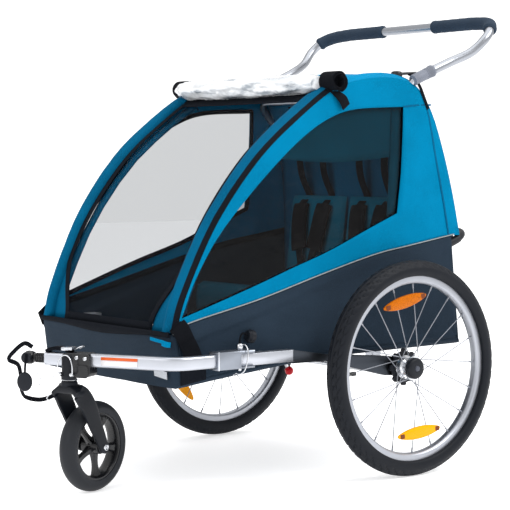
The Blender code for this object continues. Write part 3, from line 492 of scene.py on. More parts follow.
def circle(radius, count=16):
    return [(radius * math.cos(2 * math.pi * k / count), radius * math.sin(2 * math.pi * k / count))
            for k in range(count)]


def oval(half_width, half_height, count=32, squareness=0.55):
    made = []
    for k in range(count):
        angle = 2 * math.pi * k / count
        c, s = math.cos(angle), math.sin(angle)
        made.append((half_width * math.copysign(abs(c) ** squareness, c),
                     half_height * math.copysign(abs(s) ** squareness, s)))
    return made


def band(width, thickness):
    """Flat webbing: its profile's first direction lies across the strap."""
    w, t = width / 2, thickness / 2
    return [(-w, -t * 0.5), (-w * 0.93, -t), (w * 0.93, -t), (w, -t * 0.5),
            (w, t * 0.5), (w * 0.93, t), (-w * 0.93, t), (-w, t * 0.5)]


def add_sweep(bm, path, profile, up=None, scale=None, closed=False):
    path = [Vector(point) for point in path]
    rows = []
    for index, (point, (side, over)) in enumerate(zip(path, frames_along(path, up))):
        size = scale(index / (len(path) - 1)) if scale else 1.0
        rows.append([point + side * u * size + over * v * size for u, v in profile])
    made = add_grid(bm, rows, close_rows=closed, close_columns=True)
    if not closed:
        bm.faces.new(list(reversed(made[0])))
        bm.faces.new(made[-1])


def sweep(name, path, profile, body, surface, up=None, scale=None, replaces=(), angle=40, closed=False):
    bm = bmesh.new()
    add_sweep(bm, path, profile, up, scale, closed)
    return finish_mesh(name, bm, body, surface, replaces, angle=angle)


def sweeps(name, paths, profile, body, surface, up=None, replaces=(), angle=40):
    bm = bmesh.new()
    for path in paths:
        add_sweep(bm, path, profile, up)
    return finish_mesh(name, bm, body, surface, replaces, angle=angle)


def add_lathe(bm, profile, matrix, steps=96, shift=None):
    """Turns a (radius, height) profile about the matrix's Z. shift(angle, index) moves a point outwards.

    A profile that starts on the axis makes a solid piece, any other is closed into a ring.
    """
    closed = profile[0][0] > 0
    rows = []
    for step in range(steps):
        angle = 2 * math.pi * step / steps
        row = []
        for index, (radius, height) in enumerate(profile):
            reach = radius + (shift(angle, index) if shift else 0.0)
            row.append(matrix @ Vector((reach * math.cos(angle), reach * math.sin(angle), height)))
        rows.append(row)
    made = add_grid(bm, rows, close_rows=True, close_columns=closed)
    if not closed:
        for column in (0, -1):
            bm.faces.new([row[column] for row in made])


def lathe(name, profile, matrix, body, surface, steps=96, replaces=(), angle=35, shift=None):
    bm = bmesh.new()
    add_lathe(bm, profile, matrix, steps, shift)
    return finish_mesh(name, bm, body, surface, replaces, angle=angle)


def add_plate(bm, outline, low, high, matrix):
    """A flat outline in the matrix's YZ plane, from low to high along its X."""
    rings = []
    for x in (low, high):
        rings.append([bm.verts.new(matrix @ Vector((x, y, z))) for y, z in outline])
    count = len(outline)
    for k in range(count):
        bm.faces.new((rings[0][k], rings[0][(k + 1) % count], rings[1][(k + 1) % count], rings[1][k]))
    bm.faces.new(list(reversed(rings[0])))
    bm.faces.new(rings[1])


def rounded_outline(low, high, radius, steps=4):
    """A rounded rectangle as (u, v) points."""
    corners = [(high[0] - radius, high[1] - radius, 0), (low[0] + radius, high[1] - radius, 90),
               (low[0] + radius, low[1] + radius, 180), (high[0] - radius, low[1] + radius, 270)]
    made = []
    for u, v, start in corners:
        made += arc((u, v), radius, start, start + 90, steps + 1)
    return made


def block(name, low, high, body, surface, edge=1.5 * MM, matrix=Matrix.Identity(4), replaces=()):
    """A moulded block with rounded edges."""
    bm = bmesh.new()
    low, high = Vector(low), Vector(high)
    centre = (low + high) / 2
    bmesh.ops.create_cube(bm, size=1.0, matrix=matrix @ Matrix.Translation(centre)
                          @ Matrix.Diagonal((*(high - low), 1)))
    bmesh.ops.bevel(bm, geom=bm.edges[:], offset=edge, segments=3, affect="EDGES", profile=0.5)
    return finish_mesh(name, bm, body, surface, replaces, angle=30)


# Fabric body

def flatten(*pieces):
    """Soft pieces of the cabin get their modifiers applied into their meshes, each mesh their own."""
    for piece in pieces:
        for modifier in list(piece.modifiers):
            apply_modifier(piece, modifier)
        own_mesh(piece)


def apply_modifier(piece, modifier):
    graph = bpy.context.evaluated_depsgraph_get()
    others = [m for m in piece.modifiers if m != modifier]
    shown = [m.show_viewport for m in others]
    for m in others:
        m.show_viewport = False
    graph.update()
    mesh = bpy.data.meshes.new_from_object(piece.evaluated_get(graph))
    for m, was in zip(others, shown):
        m.show_viewport = was
    piece.modifiers.remove(modifier)
    piece.data = mesh


def cloth_noise(point, scale, seed=0.0):
    return noise.noise(Vector(point) * scale + Vector((seed, 0.37 * seed, -seed)))


CROWN_LINE = curve(CROWN, 96)
CROWN_IN = inward(CROWN_LINE)
OPENING_ROWS = sum(1 for point in CROWN_LINE if point.x < OPENING_END)


def crown_point(row, x, depth):
    spot = CROWN_LINE[row] + CROWN_IN[row] * depth
    return Vector((x, spot.x, max(spot.y, 0.3562)))


def crown_half(row):
    return half_width(CROWN_LINE[row].x)


def opening_half(row):
    """The mesh opening is narrower at the nose, where two gussets stand beside it."""
    return OPENING_HALF - 0.064 * smoothstep((0.515 - CROWN_LINE[row].y) / 0.155)


def post_section(row):
    """From the opening's edge over the gusset and the rounded post to the side panel, as (x, depth)."""
    half, edge = crown_half(row), opening_half(row)
    start = min(OPENING_HALF + 0.004, half - 0.04)
    width = half - CORNER - start
    gusset = [(edge + (start - edge) * share, 0.0105 + 0.0015 * math.sin(math.pi * share))
              for share in (0.0, 0.33, 0.67)]
    roundness = 1.0 - 0.75 * smoothstep((CROWN_LINE[row].x - OPENING_END + 0.05) / 0.12)
    bulge = [(0.0, 0.012), (0.02, 0.004), (0.12, -0.0015), (0.3, -0.0055), (0.5, -0.007), (0.7, -0.0055),
             (0.88, -0.001), (1.0, 0.003)]
    section = [(x, depth * roundness) for x, depth in gusset]
    section += [(start + width * share, depth * roundness) for share, depth in bulge]
    return section + [(half - 0.007, 0.0058), (half - 0.0022, 0.009), (half, CORNER)]


def hood_crown():
    """Roof and rear in one sheet across the body, with the two rounded posts beside the front opening."""
    bm = bmesh.new()
    rows = []
    for row in range(len(CROWN_LINE)):
        section = post_section(row)
        inner = section[0][0]
        sag = 0.004 * smoothstep((CROWN_LINE[row].x + 0.2) / 0.1)
        middle = []
        for step in range(1, 12):
            x = inner * (1 - step / 6)
            dome = sag * (1 - (x / inner) ** 2)
            middle.append((x, 0.002 - dome * 2 + 0.0012 * cloth_noise((x, *CROWN_LINE[row]), 14)))
        profile = list(reversed(section)) + middle + [(-x, depth) for x, depth in section]
        if row >= OPENING_ROWS:
            lifted = []
            for x, depth in profile:
                inside = smoothstep((inner + 0.03 - abs(x)) / 0.03)
                lifted.append((x, depth * (1 - inside) + (0.002 - 2 * sag * (1 - (x / inner) ** 2)) * inside))
            profile = lifted
        wave = 0.001 * math.sin(row * 0.9) * smoothstep(row / 10)
        rows.append([crown_point(row, x, depth + wave * cloth_noise((x, row * 0.05, 0), 9)) for x, depth in profile])
    count = len(rows[0])
    section_count = len(post_section(0))

    def is_open(row, column):
        return row < OPENING_ROWS and section_count - 1 <= column < count - section_count

    def colour(row, column):
        from_side = min(column, count - 2 - column)
        y = CROWN_LINE[row].x
        if from_side < 3 and y < -0.14:
            return 1
        if row >= OPENING_ROWS and y < -0.16 and from_side >= section_count - 2:
            return 3
        # The front posts take the darker copy of the blue fabric: painted shade
        return 2 if y < -0.165 and from_side < section_count else 0

    add_grid(bm, rows, skip=is_open, index=colour)
    loose = [v for v in bm.verts if not v.link_faces]
    bmesh.ops.delete(bm, geom=loose, context="VERTS")
    hood = finish_mesh("hood_crown", bm, ROOT, [ROOF_BLUE, BLACK_CLOTH, SHADED_FRONT_BLUE, HEADER_CLOTH],
                       ["canopy"], angle=60)
    thicken(hood, 0.0016, 0.0)
    return hood


def window_outline():
    """The window's edge from its front tip over the top, down its rear edge and back along its base."""
    top = curve(WINDOW_TOP, 60)
    rear = spread([WINDOW_TOP[-1], (0.04, 0.8), (0.035, 0.7), WINDOW_BASE[0]], 14)
    base = curve(WINDOW_BASE, 46)
    return [top, rear, base]


def side_outline():
    """The side panel's outer edge, split at the same three corners as the window."""
    upper = [crown_point(row, 0, CORNER - 0.003).yz for row in range(len(CROWN_LINE))]
    rear_corner = min(range(len(upper)), key=lambda k: (Vector(upper[k]) - Vector((0.098, 0.888))).length)
    front = spread(upper[:rear_corner + 1], 60)
    rear = spread(upper[rear_corner:], 14)
    base = spread([upper[-1]] + [p + Vector((0, 0.003)) for p in reversed(curve(TUB_TOP, 40))][1:-1] + [upper[0]],
                  46)
    return [front, rear, base]


def side_panel(side):
    """Flat side of the hood round the window, with folds running out from the window's corners."""
    inner = [p for part in window_outline() for p in part]
    outer = [p for part in side_outline() for p in part]
    rings = 10
    bm = bmesh.new()
    rows = []
    for a, b in zip(inner, outer):
        row = []
        for ring in range(rings + 1):
            share = ring / rings
            spot = Vector(a).lerp(Vector(b), share)
            edge = math.sin(math.pi * share)
            fold = cloth_noise((spot.x * 1.4, spot.y * 0.5, side), 16, 3) * 0.0022
            pull = 0.0016 * math.sin(46 * (spot.x + 0.55 * spot.y)) * smoothstep((spot.x + 0.25) / 0.3)
            x = half_width(spot.x) + edge * (fold + pull)
            row.append(Vector((side * x, spot.x, spot.y)))
        rows.append(row)
    add_grid(bm, rows, close_rows=True)
    bmesh.ops.remove_doubles(bm, verts=bm.verts[:], dist=0.0002)
    panel = finish_mesh(f"{SIDE_NAME[side]}_side_panel", bm, ROOT, BLUE, angle=60)
    thicken(panel, 0.0016, 0.0)
    return panel


def on_side(points, side, out=0.0):
    return [Vector((side * (half_width(p[0]) + out), p[0], p[1])) for p in points]


def window(side):
    """The tinted film, gently buckled, with a dark tape round it on the inside."""
    edge = [Vector(p) for part in window_outline() for p in part]
    centre = Vector((-0.15, 0.66))
    bm = bmesh.new()
    rows = []
    for point in edge:
        row = []
        for ring in range(9):
            spot = centre.lerp(point, 0.02 + 1.0 * ring / 8)
            bow = 0.003 * (1 - (ring / 8) ** 2) * cloth_noise((spot.x, spot.y, side), 6, 9)
            row.append(Vector((side * (half_width(spot.x) - 0.0035 + bow), spot.x, spot.y)))
        rows.append(row)
    made = add_grid(bm, rows, close_rows=True)
    bm.faces.new([row[0] for row in made])
    pane = finish_mesh(f"{SIDE_NAME[side]}_window_film", bm, ROOT, WINDOW_FILM,
                       [f"{SIDE_NAME[side]}_window"], angle=80)
    outer = [point + (point - centre).normalized() * 0.005 for point in edge]
    tape = sweep(f"{SIDE_NAME[side]}_window_tape", on_side(outer, side, -0.0045), band(0.011, 0.0012), ROOT,
                 BLACK_CLOTH, up=(1, 0, 0), closed=True)
    return pane, tape


def inner_flap(side):
    """The dark blue flap that hangs inside the window's top, and the hem behind its rear edge."""
    bm = bmesh.new()
    top = [p for p in curve(WINDOW_TOP, 60) if -0.335 < p.x]
    rows = []
    for point in top:
        low = 0.736 + 0.012 * math.sin(9 * point.x)
        low = min(low, point.y - 0.002)
        rows.append([Vector((side * (half_width(point.x) - 0.011 + 0.002 * math.sin(30 * point.x) * step / 6),
                             point.x, point.y + 0.006 + (low - point.y - 0.006) * step / 6)) for step in range(7)])
    add_grid(bm, rows)
    hem = [(0.012, 0.862), (0.006, 0.72), (-0.002, 0.592)]
    wide = [(0.05, 0.862), (0.046, 0.72), (0.036, 0.606)]
    add_grid(bm, [on_side(curve(hem, 10), side, -0.009), on_side(curve(wide, 10), side, -0.009)])
    flap = finish_mesh(f"{SIDE_NAME[side]}_inner_flap", bm, ROOT, FLAP_BLUE, angle=70)
    return thicken(flap, 0.0012, 0.0)


def seams(side):
    """Raised seams on the side panel and the light piping along the tub."""
    lines = [on_side(curve([(0.041, 0.854), (0.085, 0.8585), (0.128, 0.86)], 8), side, 0.0008),
             on_side(curve([(0.102, 0.88), (0.122, 0.832), (0.147, 0.7294), (0.174, 0.6217), (0.19, 0.5469)], 24),
                     side, 0.001)]
    # The seams are drawn in the darker copy of the blue fabric: painted shade along the folds
    seam = sweeps(f"{SIDE_NAME[side]}_hood_seams", lines, band(0.0042, 0.0018), ROOT, SHADED_BLUE,
                  up=(1, 0, 0))
    line = [Vector(p) + Vector((0, 0.0022)) for p in curve(TUB_TOP, 60)]
    sweep(f"{SIDE_NAME[side]}_belt_tape", on_side(line, side, -0.0024), band(0.016, 0.0012), ROOT, BLACK_CLOTH,
          up=(1, 0, 0))
    piping = sweep(f"{SIDE_NAME[side]}_tub_piping", on_side(line, side, 0.0018), circle(0.0014, 8), ROOT, PIPING)
    return seam, piping


def front_screen():
    """Insect mesh across the opening, drawn a little inwards, and its black border."""
    bm = bmesh.new()
    columns = 28
    rows = []
    for row in range(OPENING_ROWS + 2):
        half = opening_half(row)
        line = []
        for column in range(columns + 1):
            x = half * (2 * column / columns - 1)
            sag = 0.006 * (1 - (x / half) ** 2) + 0.0015 * cloth_noise((x, row * 0.03, 2), 7)
            line.append(crown_point(row, x, 0.009 + sag))
        rows.append(line)
    add_grid(bm, rows)
    net = finish_mesh("front_mesh_screen", bm, ROOT, FRONT_MESH, ["front_mesh"], angle=80)
    bm = bmesh.new()
    for side in (1, -1):
        strip = []
        for row in range(OPENING_ROWS + 2):
            half = opening_half(row)
            strip.append([crown_point(row, side * (half - inset), 0.0075) for inset in (0.0, 0.006, 0.014, 0.017)])
        add_grid(bm, strip)
    header = []
    for row in range(OPENING_ROWS - 2, OPENING_ROWS + 2):
        header.append([crown_point(row, opening_half(row) * (2 * k / 24 - 1), 0.008) for k in range(25)])
    add_grid(bm, header)
    footer = []
    for z in (0.3565, 0.366, 0.376):
        y = min(CROWN_LINE, key=lambda p: abs(p.y - z)).x + 0.006
        footer.append([Vector((0.18 * (2 * k / 24 - 1), y, z)) for k in range(25)])
    add_grid(bm, footer)
    border = finish_mesh("front_mesh_border", bm, ROOT, BLACK_CLOTH, angle=70)
    thicken(border, 0.0014, 0.0)
    return net, border


def tub():
    """Lower body: rounded belly strip and two ruled sides with slack folds."""
    bm = bmesh.new()
    belly = curve(BELLY[:2], 12)[:-1] + curve(BELLY[1:6], 70)[:-1] + curve(BELLY[5:], 26)
    normals = inward(belly)
    strip = []
    for point, normal in zip(belly, normals):
        half = half_width(point.x)
        line = [(half, CORNER), (half - 0.002, 0.007), (half - 0.006, 0.0025), (half - CORNER, 0.0)]
        flat = [(half - CORNER) * (1 - step / 8) for step in range(1, 16)]
        line += [(x, -0.002 * (1 - (x / half) ** 2) + 0.0015 * cloth_noise((x, *point), 12)) for x in flat]
        line += [(-x, depth) for x, depth in reversed(line[:4])]
        strip.append([Vector((x, point.x - normal.x * depth, point.y - normal.y * depth)) for x, depth in line])
    add_grid(bm, strip)
    inset = [point - normal * CORNER for point, normal in zip(belly, normals)]
    for side in (1, -1):
        top, low = spread(curve(TUB_TOP, 80), 110), spread(inset, 110)
        rows = []
        for a, b in zip(top, low):
            row = []
            for step in range(25):
                share = step / 24
                spot = a.lerp(b, share)
                edge = math.sin(math.pi * min(1, share * 1.02)) ** 0.5
                crease = (spot.y - (0.3759 + (spot.x + 0.4378) * 0.302)) / 0.009
                below = 0.006 * smoothstep(-crease) * smoothstep((0.02 - spot.x) / 0.1)
                slack = 0.0024 * cloth_noise((spot.x * 0.7 + spot.y * 0.5, spot.y * 1.6, side), 15, 5)
                fine = 0.0007 * cloth_noise((spot.x, spot.y * 1.5, side), 50, 2)
                row.append(Vector((side * (half_width(spot.x) + edge * (slack + fine - below)), spot.x, spot.y)))
            rows.append(row)
        add_grid(bm, rows)
    bmesh.ops.remove_doubles(bm, verts=bm.verts[:], dist=0.0003)
    shell = finish_mesh("tub_shell", bm, ROOT, SLATE, ["tub"], angle=60)
    return thicken(shell, 0.0018, 0.0)


def tub_trim():
    """Front hem, webbing at its corners, pull tabs, corner patch and reflective tab."""
    bm = bmesh.new()
    rows = []
    for step in range(4):
        line = []
        for k in range(33):
            x = (NOSE_HALF - 0.006) * (2 * k / 32 - 1)
            drop = (0.01 + 0.01 * math.cos(1.9 * x / NOSE_HALF) ** 2) * step / 3
            line.append(Vector((x, NOSE_Y - 0.003 - 0.0022 * math.sin(math.pi * step / 3), 0.36 - drop)))
        rows.append(line)
    add_grid(bm, rows)
    hem = finish_mesh("front_hem", bm, ROOT, BLACK_CLOTH, angle=70)
    thicken(hem, 0.002, 0.0)
    paths = []
    for side in (1, -1):
        paths.append(curve([(side * 0.277, -0.594, 0.379), (side * 0.2815, -0.584, 0.366),
                            (side * 0.2845, -0.571, 0.34), (side * 0.286, -0.557, 0.314),
                            (side * 0.2855, -0.549, 0.292)], 14))
        paths.append(curve([(side * 0.28, -0.592, 0.376), (side * 0.2845, -0.584, 0.364),
                            (side * 0.2868, -0.574, 0.343)], 8))
    straps = sweeps("nose_straps", paths, band(0.042, 0.002), ROOT, WEBBING, up=(1, 0, 0))
    tab = [(0.2, NOSE_Y - 0.005, 0.3425), (0.225, NOSE_Y - 0.0075, 0.341), (0.25, NOSE_Y - 0.008, 0.3395),
           (0.266, NOSE_Y - 0.006, 0.337), (0.272, NOSE_Y - 0.001, 0.336)]
    under = [(0.246, NOSE_Y - 0.0062, 0.3345), (0.262, NOSE_Y - 0.0072, 0.3325), (0.272, NOSE_Y - 0.002, 0.332)]
    pulls = sweeps("mesh_pull_tab", [curve(tab, 14), curve(under, 8)], band(0.0075, 0.0018), ROOT, BRIGHT_BLUE,
                   up=(0, -1, 0))
    shine = [(0.201, -0.5985, 0.269), (0.226, -0.6005, 0.2675), (0.249, -0.5985, 0.265)]
    sweep("reflective_tab", curve(shine, 10), band(0.017, 0.0016), ROOT, REFLECTIVE,
          up=(0, -1, -0.15))
    patch_rows = []
    for step in range(9):
        y = -0.584 + 0.062 * step / 8
        low = 0.245 + 0.01 * step / 8
        patch_rows.append([Vector((half_width(y) + 0.0016, y, low + (0.282 - low) * k / 6)) for k in range(7)])
    bm = bmesh.new()
    add_grid(bm, patch_rows)
    add_grid(bm, [[Vector((-p.x, p.y, p.z)) for p in row] for row in patch_rows])
    patch = finish_mesh("corner_patches", bm, ROOT, BLACK_CLOTH, angle=70)
    thicken(patch, 0.0012, 0.0)
    return hem, straps, pulls, patch


def roll():
    """The rolled-up clear cover: a flattened bundle with wrapped layers and creases."""
    bm = bmesh.new()
    low, high = box("rain_cover_roll")
    centre_y, centre_z, half = (low.y + high.y) / 2 + 0.004, (low.z + high.z) / 2 - 0.006, high.x - 0.05
    rows = []
    count, around = 120, 44
    for k in range(count + 1):
        x = half * (2 * k / count - 1)
        end = 1 - 0.3 * smoothstep((abs(x) - 0.225) / 0.045)
        row = []
        for a in range(around):
            angle = 2 * math.pi * a / around
            crease = 0.0046 * cloth_noise((x * 0.8, math.cos(angle) * 0.12, math.sin(angle) * 0.12), 24, 4)
            crease += 0.0022 * cloth_noise((x * 2.2, math.cos(angle) * 0.1, math.sin(angle) * 0.1), 60, 7)
            layer = 0.0016 * math.sin(5 * angle + 7 * x)
            reach_y, reach_z = 0.036 + crease + layer, 0.0235 + 0.8 * crease + layer
            lift = 0.004 * math.sin(math.pi * (x / half + 1) / 2)
            row.append(Vector((x, centre_y + end * reach_y * math.cos(angle),
                               centre_z - lift + end * reach_z * math.sin(angle))))
        rows.append(row)
    made = add_grid(bm, rows, close_columns=True)
    for ring in (made[0], made[-1]):
        bm.faces.new(ring)
    return finish_mesh("rolled_rain_cover", bm, ROOT, ROLLED_FILM, ["rain_cover_roll"], angle=50)


def roll_strap(side):
    """Webbing coiled round the roll's end, with its loose tail lying on the hood."""
    centre = Vector((side * 0.291, -0.17, 0.907))
    spiral = []
    for step in range(64):
        angle = math.radians(-60 + 14 * step)
        radius = 0.0235 - 0.011 * step / 63
        spiral.append(centre + Vector((0.0015 * math.sin(0.7 * step), radius * math.cos(angle),
                                       radius * math.sin(angle))))
    turned = [(v, u) for u, v in band(0.05, 0.0034)]
    coil = sweep(f"{SIDE_NAME[side]}_roll_strap_coil", spiral, turned, ROOT, WEBBING, up=(1, 0, 0),
                 replaces=[f"{SIDE_NAME[side]}_roll_strap"])
    tail = [(side * 0.284, -0.176, 0.899), (side * 0.293, -0.168, 0.8905), (side * 0.2985, -0.158, 0.88),
            (side * 0.3015, -0.147, 0.866), (side * 0.3015, -0.138, 0.85)]
    plug = [(0.0, 0.0), (0.0128, 0.0), (0.0128, 0.008), (0.0, 0.008)]
    core = lathe(f"{SIDE_NAME[side]}_roll_strap_core", plug,
                 Matrix.Translation(centre) @ Matrix.Rotation(side * math.pi / 2, 4, "Y"), ROOT, WEBBING,
                 steps=32)
    end = sweep(f"{SIDE_NAME[side]}_roll_strap_tail", curve(tail, 12), band(0.034, 0.0026), ROOT, WEBBING,
                up=(side, 0.2, 0.3))
    return coil, core, end


def roof_details():
    """Snap levers at the handle collars and the thin straps down the rear edge."""
    made = []
    for side in (1, -1):
        knob = Matrix.Translation((side * 0.272, 0.042, 0.9285))
        profile = [(0.0, -0.003), (0.0135, -0.003), (0.014, 0.003), (0.012, 0.008), (0.007, 0.01), (0.0, 0.0105)]
        made.append(lathe(f"{SIDE_NAME[side]}_roof_stud", profile, knob, ROOT, GLOSS_BLACK,
                          steps=40))
        lever = curve([(side * 0.277, 0.046, 0.9315), (side * 0.28, 0.064, 0.933), (side * 0.283, 0.088, 0.9345)], 10)
        made.append(sweep(f"{SIDE_NAME[side]}_roof_lever", lever, oval(0.0095, 0.0035, 20), ROOT, GLOSS_BLACK,
                          up=(0, 0, 1)))
        strap = curve([(side * 0.283, 0.066, 0.934), (side * 0.2935, 0.078, 0.924), (side * 0.299, 0.092, 0.902),
                       (side * 0.2998, 0.104, 0.878), (side * 0.2998, 0.118, 0.85)], 18)
        made.append(sweep(f"{SIDE_NAME[side]}_rear_edge_strap", strap, band(0.008, 0.002), ROOT, WEBBING,
                          up=(1, 0, 0)))
    return made


# Cabin

def padded(name, low, high, surface, matrix=Matrix.Identity(4), channels=0, replaces=(), crown=0.01,
           across="x"):
    """A cushion whose middle swells and whose sewn channels pull in. Its thickness runs along local Y."""
    low, high = Vector(low), Vector(high)
    bm = bmesh.new()
    wide, tall = 40, 28
    for face in (1, -1):
        rows = []
        for r in range(tall + 1):
            v = 2 * r / tall - 1
            row = []
            for c in range(wide + 1):
                u = 2 * c / wide - 1
                edge = (1 - u ** 6) * (1 - v ** 6)
                swell = 0.35 + 0.65 * edge ** 0.5 if edge > 0 else 0.0
                along = u if across == "x" else v
                groove = abs(math.sin(math.pi * channels * (along + 1) / 2)) ** 0.35 if channels else 1.0
                depth = (high.y - low.y) / 2 * swell * (0.55 + 0.45 * groove) * (1 if edge > 0 else 0)
                lump = 0.0015 * cloth_noise((u, v, face), 3, channels) * (edge > 0)
                bend = crown * (1 - u * u)
                x = (low.x + high.x) / 2 + u * (high.x - low.x) / 2
                z = (low.z + high.z) / 2 + v * (high.z - low.z) / 2
                row.append(matrix @ Vector((x, (low.y + high.y) / 2 + face * (depth + lump) + bend, z)))
            rows.append(row)
        add_grid(bm, rows)
    bmesh.ops.remove_doubles(bm, verts=bm.verts[:], dist=0.0004)
    return finish_mesh(name, bm, ROOT, surface, replaces, angle=60)


def cabin():
    """Hammock seat, harness pads and straps, rear curtain and floor."""
    low, high = box("seat_base")
    flat = Matrix(((1, 0, 0, 0), (0, 0, 1, 0), (0, 1, 0, 0), (0, 0, 0, 1)))
    padded("seat_cushion", (low.x, low.z, low.y), (high.x, high.z, high.y), SEAT_BLACK, flat, channels=4,
           replaces=["seat_base"], crown=0.0)
    tilt = Matrix.Translation((0, 0.105, 0.44)) @ Matrix.Rotation(math.radians(-7), 4, "X")
    soft = []
    for name, centre in (("left", 0.113), ("right", -0.113)):
        soft.append(padded(f"{name}_seat_back_pad", (centre - 0.106, -0.012, -0.04), (centre + 0.106, 0.012, 0.2),
                           SEAT_BLUE, tilt, channels=3,
                           replaces=["seat_back"] if name == "left" else (), crown=-0.004))
    box_low, box_high = box("left_harness")
    for side in (1, -1):
        centre = side * (box_low.x + box_high.x) / 2
        front = -0.024
        straps, pads = [], []
        for shoulder in (1, -1):
            x = centre + shoulder * 0.045
            path = [tilt @ Vector(p) for p in ((x, -0.002, 0.198), (x, front, 0.165),
                                               (centre + shoulder * 0.034, front - 0.006, 0.08),
                                               (centre + shoulder * 0.012, front - 0.004, 0.000),
                                               (centre, front - 0.002, -0.035))]
            line = curve(path, 26)
            straps.append(line)
            pads.append(line[3:16])
            straps.append(curve([tilt @ Vector((x, 0.006, 0.195)), Vector((x * 1.02, 0.105, 0.7)),
                                 Vector((x * 1.05, 0.1, 0.79)), Vector((x * 1.05, 0.076, 0.866))], 16))
        harness = sweeps(f"{SIDE_NAME[side]}_harness_webbing", straps, band(0.025, 0.0022), ROOT, WEBBING,
                         up=(0, -1, 0), replaces=[f"{SIDE_NAME[side]}_harness"])
        padding = sweeps(f"{SIDE_NAME[side]}_shoulder_pads", pads, oval(0.027, 0.0075, 24, 0.6), ROOT, SEAT_BLACK,
                         up=(0, -1, 0))
        buckle = block(f"{SIDE_NAME[side]}_harness_buckle", (centre - 0.022, -0.008, -0.02),
                       (centre + 0.022, 0.006, 0.026), ROOT, GLOSS_BLACK, 0.004,
                       tilt @ Matrix.Translation((0, front - 0.006, -0.028)))
        soft += [harness, padding, buckle]
    bm = bmesh.new()
    rows = []
    for k in range(31):
        x = 0.272 * (2 * k / 30 - 1)
        fold = 0.005 * math.sin(34 * x) + 0.003 * cloth_noise((x, 0, 0), 20)
        rows.append([Vector((x, y + fold * min(1, step), z)) for step, (y, z) in
                     enumerate(((0.08, 0.88), (0.118, 0.8), (0.132, 0.7), (0.138, 0.6), (0.14, 0.48),
                                (0.14, 0.4)))])
    add_grid(bm, rows)
    # The rear curtain inside takes the darker copy of the blue fabric: painted shade
    curtain = finish_mesh("rear_curtain", bm, ROOT, SHADED_BLUE, angle=80)
    thicken(curtain, 0.0012, 0.0)
    soft.append(curtain)
    bm = bmesh.new()
    rows = []
    for k in range(41):
        x = 0.226 * (2 * k / 40 - 1)
        fold = 0.006 * math.sin(30 * x) + 0.004 * cloth_noise((x, 0, 3), 18)
        rows.append([Vector((x, y + fold * step / 4, z)) for step, (y, z) in
                     enumerate(((-0.16, 0.425), (-0.176, 0.415), (-0.182, 0.39), (-0.18, 0.365), (-0.176, 0.345)))])
    add_grid(bm, rows)
    apron = finish_mesh("seat_apron", bm, ROOT, FLAP_BLUE, angle=80)
    thicken(apron, 0.0016, 0.0)
    soft.append(apron)
    low, high = box("floor_panel")
    block("cabin_floor", low, high, ROOT, SEAT_BLACK, 0.0012, replaces=["floor_panel"])
    return soft


# Main wheels

def wheel_frame(side):
    """Local Z points out from the body along the axle."""
    return (Matrix.Translation((side * TRACK_HALF, 0, WHEEL_RADIUS))
            @ Matrix.Rotation(side * math.pi / 2, 4, "Y"))


SECTION = 0.0235
BEAD = 0.2139
RIM_INNER = 0.196
HUB_OUT, HUB_IN = 0.006, -0.026
SPOKES = 20


def tyre(side):
    """Round section with a ribbed crown and slanted shoulder blocks."""
    centre = WHEEL_RADIUS - SECTION
    reach = math.degrees(math.acos((BEAD - centre) / SECTION))
    lean = [reach - 2 * reach * k / 36 for k in range(37)]
    profile = [(centre + (SECTION - 0.0012) * math.cos(math.radians(a)), SECTION * math.sin(math.radians(a)))
               for a in lean]
    profile += [(BEAD - 0.0005, profile[-1][1] * 0.8), (BEAD - 0.0005, profile[0][1] * 0.8)]
    steps = 600
    blocks = 60

    def tread(angle, index):
        if index >= len(lean):
            return 0.0
        a = abs(lean[index])
        turn = angle * blocks / (2 * math.pi)
        if a < 11:
            return 0.0012
        if a < 15:
            return -0.0016
        if a < 66:
            slant = (turn + a * 0.028 * (1 if lean[index] > 0 else -1) + (0.5 if lean[index] > 0 else 0)) % 1
            groove = slant < 0.24 or 38 < a < 41
            return -0.002 if groove else 0.0012 - 0.0012 * smoothstep((a - 50) / 16)
        if 72 < a < 75 or 96 < a < 99:
            return 0.0007
        return 0.0

    return lathe(f"{SIDE_NAME[side]}_wheel_tyre", profile, wheel_frame(side), f"{SIDE_NAME[side]}_wheel", TYRE,
                 steps=steps, replaces=[f"{SIDE_NAME[side]}_tyre"], angle=50, shift=tread)


def rim(side):
    profile = [(0.215, 0.0118), (0.215, 0.01), (0.2085, 0.0095), (0.206, 0.006), (0.2052, 0.0), (0.206, -0.006),
               (0.2085, -0.0095), (0.215, -0.01), (0.215, -0.0118), (0.205, -0.0122), (0.2012, -0.012),
               (0.1985, -0.01), (0.1968, -0.0068), (0.196, -0.0035), (0.1958, 0.0), (0.196, 0.0035),
               (0.1968, 0.0068), (0.1985, 0.01), (0.2012, 0.012), (0.205, 0.0122)]
    body = f"{SIDE_NAME[side]}_wheel"
    made = lathe(f"{SIDE_NAME[side]}_wheel_rim", profile, wheel_frame(side), body, RIM_METAL,
                 steps=160, replaces=[f"{SIDE_NAME[side]}_rim"], angle=30)
    spin = wheel_frame(side) @ Matrix.Rotation(math.radians(-90 if side > 0 else 90), 4, "Z")
    valve = [(0.0, 0.0), (0.0055, 0.0), (0.0055, 0.004), (0.0044, 0.006), (0.0044, 0.013), (0.0052, 0.0145),
             (0.0052, 0.0225), (0.0, 0.0235)]
    inwards = spin @ Matrix.Translation((RIM_INNER + 0.001, 0, 0)) @ Matrix.Rotation(-math.pi / 2, 4, "Y")
    lathe(f"{SIDE_NAME[side]}_wheel_valve", valve, inwards, body, GLOSS_BLACK, steps=24)
    return made


